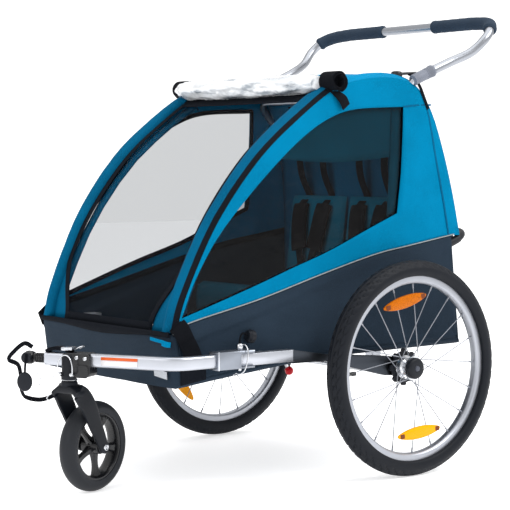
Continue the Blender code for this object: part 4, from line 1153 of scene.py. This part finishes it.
def spokes(side):
    """Crossed wires with nipples, leaving the hub's two flanges in turn."""
    matrix = wheel_frame(side)
    bm = bmesh.new()
    for index in range(SPOKES):
        outer, leading = index % 2 == 0, index % 4 < 2
        rim_angle = 2 * math.pi * index / SPOKES
        hub_angle = rim_angle + math.radians(48 if leading else -48)
        height = HUB_OUT - 0.003 if outer else HUB_IN + 0.003
        lift = 0.0014 if leading else -0.0014
        start = matrix @ Vector((0.0245 * math.cos(hub_angle), 0.0245 * math.sin(hub_angle), height + lift))
        end = matrix @ Vector((0.1965 * math.cos(rim_angle), 0.1965 * math.sin(rim_angle), 0.0))
        add_sweep(bm, [start, end], circle(0.00115, 8))
        nipple = end - (end - start).normalized() * 0.012
        add_sweep(bm, [nipple, end.lerp(nipple, 0.25), end], circle(0.002, 8))
    made = finish_mesh(f"{SIDE_NAME[side]}_wheel_spokes", bm, f"{SIDE_NAME[side]}_wheel", SPOKE_METAL,
                       replaces=[f"{SIDE_NAME[side]}_hub_and_spokes"])
    return made


def hub(side):
    name, matrix = SIDE_NAME[side], wheel_frame(side)
    body = f"{name}_wheel"
    shell = [(0.0275, HUB_OUT), (0.028, HUB_OUT - 0.0012), (0.0275, HUB_OUT - 0.0028), (0.0185, HUB_OUT - 0.004),
             (0.0145, HUB_OUT - 0.008), (0.0135, (HUB_OUT + HUB_IN) / 2), (0.0145, HUB_IN + 0.008),
             (0.0185, HUB_IN + 0.004), (0.0275, HUB_IN + 0.0028), (0.028, HUB_IN + 0.0012), (0.0275, HUB_IN),
             (0.007, HUB_IN), (0.007, HUB_OUT)]
    lathe(f"{name}_hub_shell", shell, matrix, body, STEEL, steps=64)
    cap = [(0.0078, 0.018), (0.016, 0.0178), (0.0205, 0.0168), (0.0235, 0.0145), (0.0246, 0.0115),
           (0.0246, HUB_OUT + 0.0006), (0.0078, HUB_OUT + 0.0006), (0.0078, 0.012), (0.0088, 0.0165)]
    lathe(f"{name}_hub_cover", cap, matrix, body, BLACK_PLASTIC, steps=64,
          replaces=[f"{name}_hub_cap"])
    bm = bmesh.new()
    count = 8
    for index in range(count):
        spin = matrix @ Matrix.Rotation(2 * math.pi * index / count, 4, "Z") @ Matrix.Rotation(-math.pi / 2, 4, "Y")
        outline = [(-0.007, 0.012), (0.007, 0.012), (0.0066, 0.0405), (0.0044, 0.043), (-0.0044, 0.043),
                   (-0.0066, 0.0405)]
        add_plate(bm, outline, HUB_IN - 0.0068, HUB_IN - 0.0005, spin)
    add_lathe(bm, [(0.037, HUB_IN - 0.0006), (0.0375, HUB_IN - 0.0036), (0.037, HUB_IN - 0.0066),
                   (0.0092, HUB_IN - 0.0066), (0.0092, HUB_IN - 0.0006)], matrix, 64)
    ring = finish_mesh(f"{name}_brake_notches", bm, body, BLACK_PLASTIC,
                       replaces=[f"{name}_brake_ring"], angle=30)
    soften(ring, 0.0006)
    button = [(0.0, 0.0205), (0.0045, 0.0203), (0.0062, 0.0195), (0.007, 0.018), (0.007, 0.0155), (0.0, 0.0155)]
    lathe(f"{name}_release_cap", button, matrix, f"{name}_button", DARK_GREY, steps=40,
          replaces=[f"{name}_hub_button"])
    pin = [(0.0, 0.0118), (0.0052, 0.0118), (0.006, 0.011), (0.006, -0.074), (0.005, -0.076), (0.0, -0.076)]
    lathe(f"{name}_quick_pin", pin, matrix, ROOT, STEEL, steps=32,
          replaces=[f"{name}_axle_pin"])


def reflector(side, number, degrees):
    """A long amber lens with pointed ends in a clip frame."""
    name = f"{SIDE_NAME[side]}_reflector_{number}"
    body = f"{SIDE_NAME[side]}_wheel"
    spin = wheel_frame(side) @ Matrix.Rotation(math.radians(degrees), 4, "Z")
    length, width, middle = 0.066, 0.0145, 0.15 if side > 0 and number == 2 else 0.159

    def outline(scale):
        made = []
        for k in range(48):
            angle = 2 * math.pi * k / 48
            c, s = math.cos(angle), math.sin(angle)
            along = length * math.copysign(abs(s) ** 0.75, s) * scale
            taper = 0.42 + 0.58 * math.cos(0.5 * math.pi * min(1, abs(along) / length)) ** 0.7
            made.append((middle + width * taper * math.copysign(abs(c) ** 0.6, c) * scale, along))
        return made

    bm = bmesh.new()
    levels = [(0.9, 0.0076), (1.0, 0.0088), (1.0, 0.0118), (0.93, 0.0134), (0.8, 0.0141), (0.45, 0.015)]
    rings = [[bm.verts.new(spin @ Vector((u, v, z))) for u, v in outline(scale)] for scale, z in levels]
    for a, b in zip(rings, rings[1:]):
        for k in range(48):
            bm.faces.new((a[k], a[(k + 1) % 48], b[(k + 1) % 48], b[k]))
    bm.faces.new(rings[0])
    bm.faces.new(rings[-1])
    finish_mesh(f"{name}_lens", bm, body, AMBER, replaces=[name], angle=25)
    ends = bmesh.new()
    for end in (1, -1):
        low, high = sorted((end * 0.048, end * 0.0605))
        add_plate(ends, rounded_outline((middle - 0.0052, low), (middle + 0.0052, high), 0.002), 0.01, 0.0146,
                  spin @ Matrix(((0, 1, 0, 0), (0, 0, 1, 0), (1, 0, 0, 0), (0, 0, 0, 1))))
    # The end recesses take the darker amber: painted shade
    finish_mesh(f"{name}_recesses", ends, body, AMBER_SHADE)


def main_wheels():
    for side in (1, -1):
        tyre(side)
        rim(side)
        spokes(side)
        hub(side)
        for number, degrees in enumerate(REFLECTOR_TURNS[side], 1):
            reflector(side, number, degrees)


# Frame

def arm_direction():
    return Vector((math.cos(ARM_HEADING), math.sin(ARM_HEADING), 0))


def rounded_corner(points, radius, steps=12):
    """A path through three points with its middle corner rounded."""
    before, corner, after = points
    a, b = (before - corner).normalized(), (after - corner).normalized()
    turn = a.angle(b)
    cut = radius / math.tan(turn / 2)
    centre = corner + (a + b).normalized() * (radius / math.sin(turn / 2))
    first, last = corner + a * cut - centre, corner + b * cut - centre
    turned = [first.normalized().slerp(last.normalized(), k / steps) for k in range(steps + 1)]
    return [before] + [centre + direction * radius for direction in turned] + [after]


ARM_HEIGHT = sum(corner.z for corner in box("tow_arm_tube")) / 2
SIDE_X = sum(corner.x for corner in box("left_side_tube")) / 2
ARM_CORNER = Vector((SIDE_X, -0.629, ARM_HEIGHT))
ARM_END = ARM_CORNER + arm_direction() * 0.312
ARM_FRAME = Matrix.Translation(ARM_END) @ arm_direction().to_track_quat("Z", "Y").to_matrix().to_4x4()


def tow_arm():
    path = rounded_corner([Vector((SIDE_X, -0.503, ARM_HEIGHT)), ARM_CORNER, ARM_END], 0.055)
    straight = [path[-2].lerp(ARM_END, k / 8) for k in range(1, 8)]
    sweep("arm_tube", path[:-1] + straight + [ARM_END], oval(0.011, 0.0145, 40, 0.5), "tow_arm", ALUMINIUM,
          up=(0, 0, 1), replaces=["tow_arm_tube"], angle=30)
    label = [ARM_END - arm_direction() * (0.226 - 0.0145 * k) for k in range(7)]
    outwards = Vector((-math.sin(ARM_HEADING), math.cos(ARM_HEADING), 0))
    for name, low, high, paint in (("arm_band_upper", 0.003, 0.0095, BAND_ORANGE),
                                   ("arm_band_lower", -0.0085, 0.0028, BAND_WHITE)):
        bm = bmesh.new()
        add_grid(bm, [[p + outwards * 0.0113 + Vector((0, 0, z)) for z in (low, high)] for p in label])
        thicken(finish_mesh(name, bm, "tow_arm", paint), 0.0004, 1.0)
    collar = [(0.0, 0.03), (0.0085, 0.03), (0.01, 0.0285), (0.0104, 0.025)]
    for k in range(5):
        z = 0.0235 - 0.0042 * k
        collar += [(0.0108, z), (0.0108, z - 0.0018), (0.0094, z - 0.0022), (0.0094, z - 0.0038)]
    collar += [(0.0125, 0.002), (0.0125, 0.0006), (0.0, 0.0006)]
    lathe("flex_boot", collar, ARM_FRAME, "tow_arm", GLOSS_BLACK, steps=48,
          replaces=["flex_joint"])
    coupling()


def coupling():
    """End fitting with a cross disc, the webbing loop, its hanging disc, and the storage strap on the arm."""
    ball = [(0.0, 0.056), (0.006, 0.0555), (0.0105, 0.0532), (0.0138, 0.049), (0.015, 0.043), (0.0142, 0.0365),
            (0.0115, 0.032), (0.009, 0.0305), (0.0, 0.0304)]
    lathe("coupling_end", ball, ARM_FRAME, "tow_arm", GLOSS_BLACK, steps=48,
          replaces=["coupling_ball"])
    across = ARM_FRAME @ Matrix.Translation((0, 0, 0.043)) @ Matrix.Rotation(math.pi / 2, 4, "Y")
    disc = [(0.0, 0.0175), (0.0085, 0.0175), (0.0115, 0.016), (0.0125, 0.0135), (0.0125, -0.0135), (0.0115, -0.016),
            (0.0085, -0.0175), (0.0, -0.0175)]
    lathe("coupling_barrel", disc, across, "tow_arm", BLACK_PLASTIC, steps=48)
    forward, inward_way = Vector((-0.608, -0.794, 0)), Vector((-0.794, 0.608, 0))

    def hanging(points, count):
        return [ARM_END + forward * p.x + inward_way * p.y + Vector((0, 0, p.z)) for p in curve(points, count)]

    loop = [(0.03, 0, 0.024), (0.048, 0, 0.032), (0.071, 0, 0.014), (0.082, 0, -0.003), (0.062, 0.004, -0.016),
            (0.057, 0.01, -0.05), (0.058, 0.02, -0.072), (0.05, 0.035, -0.09), (0.022, 0.05, -0.098),
            (-0.004, 0.062, -0.092), (-0.022, 0.068, -0.08)]
    sweep("hitch_webbing", hanging(loop, 70), band(0.01, 0.0018), "tow_arm", WEBBING,
          up=(0.4, -0.9, 0.2), replaces=["safety_strap"])
    tether = [(0.044, -0.004, 0.01), (0.046, -0.006, -0.02), (0.047, -0.006, -0.045)]
    sweep("hitch_tether", hanging(tether, 16), circle(0.0026, 10), "tow_arm", WEBBING)
    plate_frame = Matrix.Translation(hanging([tether[-1], tether[0]], 2)[0] + Vector((0, 0, -0.006)))
    face = plate_frame @ Matrix.Rotation(math.radians(48), 4, "Z") @ Matrix.Rotation(math.pi / 2, 4, "X")
    medallion = [(0.0, 0.0045), (0.012, 0.0045), (0.0155, 0.0035), (0.017, 0.0), (0.0155, -0.0035),
                 (0.012, -0.0045), (0.0, -0.0045)]
    lathe("hitch_disc", medallion, face @ Matrix.Diagonal((1, 1.25, 1, 1)), "tow_arm", BLACK_PLASTIC,
          steps=48)
    clip = [(0.006, -0.012, -0.012), (0.01, -0.014, -0.03), (0.012, -0.012, -0.05), (0.017, -0.012, -0.062),
            (0.012, -0.013, -0.046), (0.02, -0.014, -0.026), (0.014, -0.014, -0.012)]
    sweep("hitch_wire_clip", hanging(clip, 50), circle(0.0011, 8), "tow_arm", STEEL)
    back = -arm_direction()
    over = [ARM_END + back * s + Vector((0, 0, z)) for s, z in
            ((0.004, 0.0165), (0.014, 0.0215), (0.032, 0.0235), (0.05, 0.0215), (0.062, 0.0165))]
    sweep("arm_storage_strap", curve(over, 24), band(0.024, 0.007), "tow_arm", WEBBING, up=(0, 0, 1))
    at = ARM_END + back * 0.056
    turn = Matrix.Translation(at) @ Matrix.Rotation(ARM_HEADING, 4, "Z")
    block("storage_buckle", (-0.014, -0.014, 0.019), (0.014, 0.014, 0.027), "tow_arm", POLISHED, 0.003,
          turn)
    wire = [turn @ Vector(p) for p in ((-0.02, 0.01, 0.022), (-0.03, 0.012, 0.028), (-0.036, 0.0, 0.03),
                                       (-0.03, -0.012, 0.028), (-0.02, -0.01, 0.022))]
    sweep("storage_wire", curve(wire, 24), circle(0.0012, 8), "tow_arm", STEEL)


def hitch():
    """Pin with its ring, wire bail round the sleeve, and the black knob on a tether to the tub."""
    pin_low, pin_high = box("hitch_pin")
    middle = (pin_low + pin_high) / 2
    base = Matrix.Translation((middle.x, middle.y, 0))
    shank = [(0.0, 0.333), (0.0052, 0.333), (0.0068, 0.3312), (0.0075, 0.329), (0.0075, 0.3205), (0.0068, 0.3195),
             (0.0038, 0.3195), (0.0038, 0.2755), (0.0026, 0.274), (0.0, 0.274)]
    lathe("hitch_pin_shank", shank, base, "hitch_pin", STEEL, steps=40,
          replaces=["hitch_pin"])
    x, y = middle.x, middle.y
    bail = [(x, y + 0.004, 0.33), (x + 0.012, y + 0.006, 0.331), (x + 0.0215, y + 0.006, 0.318),
            (x + 0.022, y + 0.004, 0.296), (x + 0.0195, y - 0.002, 0.276), (x + 0.01, y - 0.008, 0.268),
            (x + 0.002, y - 0.012, 0.2695), (x + 0.004, y - 0.02, 0.266)]
    sweep("hitch_pin_bail", curve(bail, 60), circle(0.0014, 10), "hitch_pin", STEEL)
    cord = [(x - 0.005, y + 0.004, 0.331), (x - 0.014, y + 0.012, 0.345), (x - 0.024, y + 0.028, 0.352),
            (x - 0.03, y + 0.045, 0.345)]
    sweep("hitch_cord", curve(cord, 20), circle(0.0022, 10), ROOT, WEBBING)
    knob = Matrix.Translation((x - 0.03, y + 0.052, 0.343)) @ Matrix.Rotation(math.radians(80), 4, "X")
    lathe("hitch_knob", [(0.0, -0.01), (0.01, -0.01), (0.0145, -0.006), (0.015, 0.004), (0.011, 0.01),
                         (0.0, 0.011)], knob, ROOT, BLACK_PLASTIC, steps=40)
    low, high = box("tow_arm_yoke")
    band_low, band_high = (low.x - 0.0006, low.y + 0.001, low.z - 0.0006), (high.x + 0.0006, low.y + 0.0045,
                                                                          high.z + 0.0006)
    block("yoke_lip", band_low, band_high, "tow_arm", POLISHED, 0.0008)


def caster_bracket():
    """Clamp round the arm with rounded corners, a stem housing, two bolts and the bail of its locking pin."""
    heading = Matrix.Translation(CASTER_PIVOT) @ Matrix.Rotation(ARM_HEADING - math.pi, 4, "Z")
    facing = heading @ Matrix(((0, 1, 0, 0), (-1, 0, 0, 0), (0, 0, 1, 0), (0, 0, 0, 1)))
    bm = bmesh.new()
    add_plate(bm, rounded_outline((-0.006, 0.264), (0.06, 0.3155), 0.009, 6), -0.0165, 0.0205, facing)
    clamp = finish_mesh("bracket_clamp", bm, "tow_arm", GLOSS_BLACK, replaces=["caster_bracket"],
                        angle=30)
    soften(clamp, 0.0022, 3)
    bm = bmesh.new()
    add_plate(bm, rounded_outline((0.026, 0.2625), (0.0575, 0.2905), 0.007, 6), 0.02, 0.0232, facing)
    soften(finish_mesh("bracket_boss", bm, "tow_arm", GLOSS_BLACK, angle=30), 0.0012, 3)
    for number, (x, z) in enumerate(((0.05, 0.3045), (0.03, 0.306)), 1):
        bolt = heading @ Matrix.Translation((x, -0.0205, z)) @ Matrix.Rotation(math.pi / 2, 4, "X")
        head = [(0.0, 0.003), (0.0016, 0.003), (0.0024, 0.0014), (0.0024, 0.0034), (0.0038, 0.003), (0.0046, 0.0014),
                (0.0048, 0.0), (0.0, 0.0)]
        lathe(f"bracket_bolt_{number}", head, bolt, "tow_arm", STEEL, steps=32)
    housing = [(0.0, 0.3125), (0.011, 0.3125), (0.014, 0.3105), (0.0155, 0.306), (0.0155, 0.268), (0.0168, 0.2665),
               (0.0168, 0.259), (0.015, 0.2575), (0.0, 0.2575)]
    lathe("stem_housing", housing, heading @ Matrix.Translation((0.006, -0.0125, 0)), "tow_arm", BLACK_PLASTIC,
          steps=56)
    bail = [(-0.0055, -0.032, 0.27), (-0.0085, -0.0345, 0.276), (-0.008, -0.035, 0.293),
            (-0.001, -0.035, 0.3075), (0.009, -0.035, 0.312), (0.019, -0.035, 0.3075), (0.0255, -0.035, 0.293),
            (0.026, -0.0345, 0.274), (0.0225, -0.032, 0.268)]
    sweep("locking_pin_bail", curve([heading @ Vector(p) for p in bail], 50), circle(0.0013, 10), "caster_pin",
          STEEL)
    for number, x in enumerate((-0.006, 0.0215), 1):
        pin = heading @ Matrix.Translation((x, -0.0255, 0.27)) @ Matrix.Rotation(math.pi / 2, 4, "X")
        lathe(f"locking_pin_end_{number}", [(0.0, 0.008), (0.0034, 0.0075), (0.0048, 0.0045), (0.0048, 0.0),
                                            (0.0036, -0.0015), (0.0036, -0.04), (0.0, -0.041)], pin, "caster_pin",
              STEEL, steps=32, replaces=["caster_pin"] if number == 1 else ())
    clip = [(-0.012, -0.02, 0.266), (-0.03, -0.018, 0.262), (-0.04, -0.016, 0.244), (-0.041, -0.014, 0.224),
            (-0.048, -0.014, 0.214), (-0.04, -0.012, 0.208)]
    sweep("bracket_wire_clip", curve([heading @ Vector(p) for p in clip], 36), circle(0.0011, 8), "tow_arm", STEEL)


# Stroller wheel

CASTER_FRAME = Matrix.Translation(CASTER_PIVOT) @ Matrix.Rotation(CASTER_HEADING, 4, "Z")
CASTER_HUB = CASTER_FRAME @ Vector((0, 0.078, 0.1))
CASTER_AXLE = (Matrix.Translation(CASTER_HUB) @ Matrix.Rotation(CASTER_HEADING, 4, "Z")
               @ Matrix.Rotation(math.pi / 2, 4, "Y"))


def caster_wheel():
    tyre_section = [(0.0745, 0.018)] + [(0.079 + 0.021 * math.cos(math.radians(a)) ** 0.8,
                                         0.0215 * math.sin(math.radians(a))) for a in range(80, -81, -10)]
    tyre_section += [(0.0745, -0.018)]
    lathe("stroller_tyre", tyre_section, CASTER_AXLE, "caster_wheel", CASTER_RUBBER, steps=120,
          replaces=["caster_tyre"], angle=45)
    bm = bmesh.new()
    ring = [(0.0742, 0.0168), (0.0742, -0.0168), (0.07, -0.0172), (0.0672, -0.013), (0.066, -0.006),
            (0.066, 0.006), (0.0672, 0.013), (0.07, 0.0172)]
    add_lathe(bm, ring, CASTER_AXLE, 96)
    core = [(0.016, 0.0215), (0.0145, 0.0238), (0.0058, 0.0238), (0.0058, -0.0238), (0.0145, -0.0238),
            (0.016, -0.0215)]
    add_lathe(bm, core, CASTER_AXLE, 64)
    for index in range(5):
        spin = CASTER_AXLE @ Matrix.Rotation(2 * math.pi * (index + 0.1) / 5, 4, "Z")
        rows = []
        for step in range(9):
            share = step / 8
            reach = 0.014 + 0.0535 * share
            wide = 0.0088 - 0.002 * math.sin(math.pi * share) + 0.003 * share ** 4
            deep = 0.0095 - 0.0035 * math.sin(math.pi * share)
            rows.append([spin @ Vector((reach, u * wide, v * deep)) for u, v in
                         ((-1, -0.5), (-0.6, -1), (0.6, -1), (1, -0.5), (1, 0.5), (0.6, 1), (-0.6, 1), (-1, 0.5))])
        made = add_grid(bm, rows, close_columns=True)
        bm.faces.new(made[0])
        bm.faces.new(made[-1])
    finish_mesh("stroller_wheel_rim", bm, "caster_wheel", GLOSS_BLACK, replaces=["caster_rim"],
                angle=30)
    bolt = [(0.0, 0.0405), (0.0022, 0.0405), (0.003, 0.0385), (0.0052, 0.04), (0.0068, 0.0392), (0.0075, 0.0372),
            (0.0075, 0.0358), (0.005, 0.0357), (0.005, -0.0357), (0.0075, -0.0358), (0.0075, -0.0385),
            (0.006, -0.04), (0.0, -0.0402)]
    lathe("stroller_axle", bolt, CASTER_AXLE, "caster_fork", STEEL, steps=40,
          replaces=["caster_axle"])


def caster_fork():
    """Moulded fork: a sloping crown over the tyre and two flat legs with bolted feet."""
    bm = bmesh.new()
    for side in (1, -1):
        spine = [(-0.004, 0.23, 0.0185), (0.012, 0.216, 0.0225), (0.0305, 0.189, 0.0225),
                 (0.048, 0.155, 0.019), (0.064, 0.126, 0.016), (0.0735, 0.106, 0.0145),
                 (0.0775, 0.096, 0.0125)]
        rows = []
        for y, z, reach in curve(spine, 26):
            drop = smoothstep((0.233 - z) / 0.04)
            x = side * (0.029 + 0.0025 * drop)
            lean = Vector((0, 0.55, 0.83)).lerp(Vector((0, 0.93, 0.36)), drop).normalized()
            rows.append([CASTER_FRAME @ (Vector((x + u * 0.005, y, z)) + lean * (v * reach))
                         for u, v in oval(1, 1, 20, 0.45)])
        made = add_grid(bm, rows, close_columns=True)
        bm.faces.new(made[0])
        bm.faces.new(made[-1])
        foot = (Matrix.Translation(CASTER_FRAME @ Vector((side * 0.0315, 0.078, 0.1)))
                @ Matrix.Rotation(CASTER_HEADING, 4, "Z") @ Matrix.Rotation(math.pi / 2, 4, "Y"))
        add_lathe(bm, [(0.0, 0.0046), (0.0125, 0.0046), (0.014, 0.003), (0.014, -0.003), (0.0125, -0.0046),
                       (0.0, -0.0046)], foot, 40)
    crown = []
    for k in range(25):
        x = 0.0345 * (2 * k / 24 - 1)
        top = 0.2455 - 0.011 * smoothstep((abs(x) - 0.014) / 0.021)
        low = 0.2245 - 0.007 * smoothstep((abs(x) - 0.021) / 0.01)
        end = 1 - 0.35 * smoothstep((abs(x) - 0.031) / 0.0035)
        middle = (top + low) / 2
        crown.append([CASTER_FRAME @ Vector((x, 0.002 + 0.0215 * u, middle + end * (top - low) / 2 * v))
                      for u, v in oval(1, 1, 28, 0.6)])
    made = add_grid(bm, crown, close_columns=True)
    bm.faces.new(made[0])
    bm.faces.new(made[-1])
    stem = Matrix.Translation(CASTER_PIVOT)
    add_lathe(bm, [(0.0, 0.28), (0.0105, 0.28), (0.0115, 0.279), (0.0115, 0.254), (0.0165, 0.253),
                   (0.0185, 0.248), (0.019, 0.242), (0.0, 0.24)], stem, 48)
    finish_mesh("stroller_fork", bm, "caster_fork", BLACK_PLASTIC, replaces=["caster_fork"], angle=40)
    washer = [(0.0118, 0.2566), (0.0178, 0.2566), (0.0182, 0.256), (0.0182, 0.2548), (0.0118, 0.2545)]
    lathe("stem_washer", washer, stem, "caster_fork", STEEL, steps=48)


# Handlebar, brake and cargo bar

HANDLE_TILT = math.radians(21.8)
HANDLE_START = Vector((0.295, 0.087, 0.922))


def along_handle(distance):
    return HANDLE_START + Vector((0, math.cos(HANDLE_TILT), math.sin(HANDLE_TILT))) * distance


def handlebar():
    bend = [along_handle(0.056), along_handle(0.062), (0.301, 0.19, 0.964), (0.318, 0.241, 0.988),
            (0.33, 0.277, 1.022), (0.319, 0.303, 1.047), (0.29, 0.324, 1.061), (0.23, GRIP_Y, GRIP_HEIGHT)]
    half = [along_handle(-0.012)] + curve(bend, 60)
    whole = half + [Vector((x, GRIP_Y, GRIP_HEIGHT)) for x in (0.12, 0.0, -0.12)] + mirrored(reversed(half), -1)
    sweep("handle_tube", whole, circle(0.011, 32), "handlebar", HANDLE_METAL,
          replaces=["handlebar"])
    for side in (1, -1):
        name = SIDE_NAME[side]
        path = [p for p in half if p.z > 1.04]
        path += [Vector((x, GRIP_Y, GRIP_HEIGHT)) for x in (0.2, 0.17, 0.14, 0.115, 0.093)]
        path = spread(path, 60)

        def swell(share):
            end = min(share, 1 - share)
            ridge = 0.05 if 0.012 < end < 0.035 else 0.0
            return 0.8 + 0.2 * smoothstep(end / 0.02) + ridge + 0.012 * math.sin(share * 55)

        sweep(f"{name}_foam_grip", mirrored(path, side), circle(0.0158, 32), "handlebar", FOAM,
              scale=swell, replaces=[f"{name}_grip"])
        direction = Vector((0, math.cos(HANDLE_TILT), math.sin(HANDLE_TILT)))
        start = mirrored([along_handle(0)], side)[0]
        turn = Matrix.Translation(start) @ direction.to_track_quat("Z", "Y").to_matrix().to_4x4()
        lower = [(0.0, -0.0145), (0.0126, -0.0145), (0.0134, -0.013), (0.0134, 0.025), (0.013, 0.026),
                 (0.0, 0.026)]
        upper = [(0.0132, 0.0265), (0.0138, 0.0275), (0.0136, 0.042), (0.0146, 0.044), (0.0148, 0.05),
                 (0.0138, 0.052), (0.0116, 0.052), (0.0116, 0.0265)]
        lathe(f"{name}_collar_base", lower, turn, "rear_hoop", GREY_PLASTIC, steps=56,
              replaces=[f"{name}_handle_collar"])
        stub = [Vector((side * 0.291, 0.079, 0.917)), Vector((side * 0.282, 0.066, 0.9)),
                Vector((side * 0.276, 0.054, 0.886))]
        sweep(f"{name}_collar_stub", curve(stub, 12), circle(0.0085, 24), "rear_hoop", ALUMINIUM)
        lathe(f"{name}_collar_lock", upper, turn, "rear_hoop", GREY_PLASTIC, steps=56)


def brake():
    low, high = box("brake_bar")
    knob_low, knob_high = box("brake_knob")
    y, z = 0.03, 0.226
    bm = bmesh.new()
    add_sweep(bm, [Vector((low.x + 0.0007, y, z)), Vector((low.x, y, z)) + Vector((0.02, 0, 0)),
                   Vector((high.x - 0.02, y, z)), Vector((high.x - 0.0007, y, z))], circle(0.006, 32))
    x = (knob_low.x + knob_high.x) / 2
    add_sweep(bm, curve([(x, y, z), (x, y + 0.006, z - 0.012), (x, 0.0435, 0.2005)], 12), circle(0.0044, 20))
    finish_mesh("brake_cross_bar", bm, "brake_bar", STEEL, replaces=["brake_bar"])
    ball = [(0.0, 0.0118), (0.0045, 0.011), (0.0082, 0.0082), (0.0105, 0.0045), (0.011, 0.0), (0.01, -0.0045),
            (0.0078, -0.008), (0.0045, -0.0102), (0.0, -0.011)]
    lathe("brake_ball", ball, Matrix.Translation((x, 0.0505, 0.1885)), "brake_bar", RED_PLASTIC,
          steps=48, replaces=["brake_knob"])


def cargo_bar():
    radius = 9 * MM
    high = box("cargo_hoop")[1]
    y, z = high.y - radius, high.z - radius
    start, corner = Vector((0.284, 0.195, 0.525)), Vector((0.292, y, z))
    half = rounded_corner([start, corner, Vector((0, y, z))], 0.045)[:-1]
    path = half + [Vector((x0, y, z)) for x0 in (0.15, 0.0, -0.15)] + mirrored(reversed(half), -1)
    sweep("cargo_bar", path, circle(radius, 28), ROOT, BLACK_PLASTIC, replaces=["cargo_hoop"])
    grip = spread(half, 40)[:16]
    for side in (1, -1):
        sweep(f"{SIDE_NAME[side]}_cargo_sleeve", mirrored(grip, side), circle(0.0104, 28), ROOT, CASTER_RUBBER)


# Frame nodes that keep their shape

NODE_LOOKS = {
    "left_side_tube": ALUMINIUM, "right_side_tube": ALUMINIUM, "tow_arm_yoke": YOKE_METAL, "floor_frame": ALUMINIUM,
    # front_rails take the darker copy of the blue fabric: painted shade
    "front_rails": SHADED_BLUE, "rear_hoop": ALUMINIUM, "left_corner_bracket": BRACKET_METAL,
    "right_corner_bracket": BRACKET_METAL, "axle_tube": POLISHED,
}


def dress_nodes():
    for name, surface in NODE_LOOKS.items():
        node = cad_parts[name]
        node.data.materials.clear()
        node.data.materials.append(surface)
        node.data.polygons.foreach_set("use_smooth", [True] * len(node.data.polygons))
        weld = node.modifiers.new("weld", "WELD")
        weld.merge_threshold = 0.02 * MM
        soften(node, 0.001, 2, 50)


# Photographer's stage

def stage():
    bm = bmesh.new()
    bmesh.ops.create_grid(bm, x_segments=1, y_segments=1, size=14)
    mesh = bpy.data.meshes.new("floor")
    bm.to_mesh(mesh)
    bm.free()
    floor = bpy.data.objects.new("floor", mesh)
    bpy.context.scene.collection.objects.link(floor)
    made, _, shader = new_material("pale_floor")
    shader.inputs["Base Color"].default_value = (0.93, 0.93, 0.94, 1)
    shader.inputs["Roughness"].default_value = 0.55
    shader.inputs["Emission Color"].default_value = (1, 1, 1, 1)
    shader.inputs["Emission Strength"].default_value = 0.52
    mesh.materials.append(made)
    world = bpy.data.worlds.new("studio")
    bpy.context.scene.world = world
    world.use_nodes = True
    world.node_tree.nodes["Background"].inputs["Color"].default_value = (1, 1, 1, 1)
    seen = add_node(world.node_tree, "ShaderNodeLightPath").outputs["Is Camera Ray"]
    strength = maths(world.node_tree, "MULTIPLY_ADD", seen, 0.36, 1.0)
    world.node_tree.links.new(strength, world.node_tree.nodes["Background"].inputs["Strength"])
    bpy.context.scene.view_settings.view_transform = "Standard"


def area_light(name, location, target, size, power):
    data = bpy.data.lights.new(name, "AREA")
    data.shape = "RECTANGLE"
    data.size, data.size_y = size
    data.energy = power
    light = bpy.data.objects.new(name, data)
    light.location = Vector(location) + OFFSET
    light.rotation_euler = (Vector(target) - Vector(location)).to_track_quat("-Z", "Y").to_euler()
    bpy.context.scene.collection.objects.link(light)


def camera():
    """Same station point, aim and field of view as the reference view."""
    azimuth, pitch = math.radians(52.56), math.radians(3.14)
    back = Vector((math.sin(azimuth) * math.cos(pitch), -math.cos(azimuth) * math.cos(pitch), math.sin(pitch)))
    data = bpy.data.cameras.new("camera")
    data.sensor_width = 36
    data.lens = 118.3
    obj = bpy.data.objects.new("camera", data)
    obj.location = Vector((3.2118, -2.628, 0.7224)) + OFFSET
    obj.rotation_euler = (-back).to_track_quat("-Z", "Y").to_euler()
    bpy.context.scene.collection.objects.link(obj)
    bpy.context.scene.camera = obj


def build():
    soft = [hood_crown(), *front_screen(), roll()]
    for side in (1, -1):
        soft += [side_panel(side), *window(side), seams(side)[0], *roll_strap(side)]
    soft.append(inner_flap(1))
    soft += roof_details()
    tub()
    tub_trim()
    soft += cabin()
    main_wheels()
    tow_arm()
    hitch()
    caster_bracket()
    caster_wheel()
    caster_fork()
    handlebar()
    brake()
    cargo_bar()
    dress_nodes()
    flatten(*soft)


build()
stage()
area_light("key", (2.6, 1.4, 3.4), (0, -0.1, 0.5), (2.2, 1.6), 95)
area_light("front", (0.6, -3.6, 1.9), (0, -0.2, 0.5), (2.4, 1.8), 20)
area_light("top", (0, 0, 3.6), (0, 0, 0.4), (3.0, 3.0), 45)
camera()
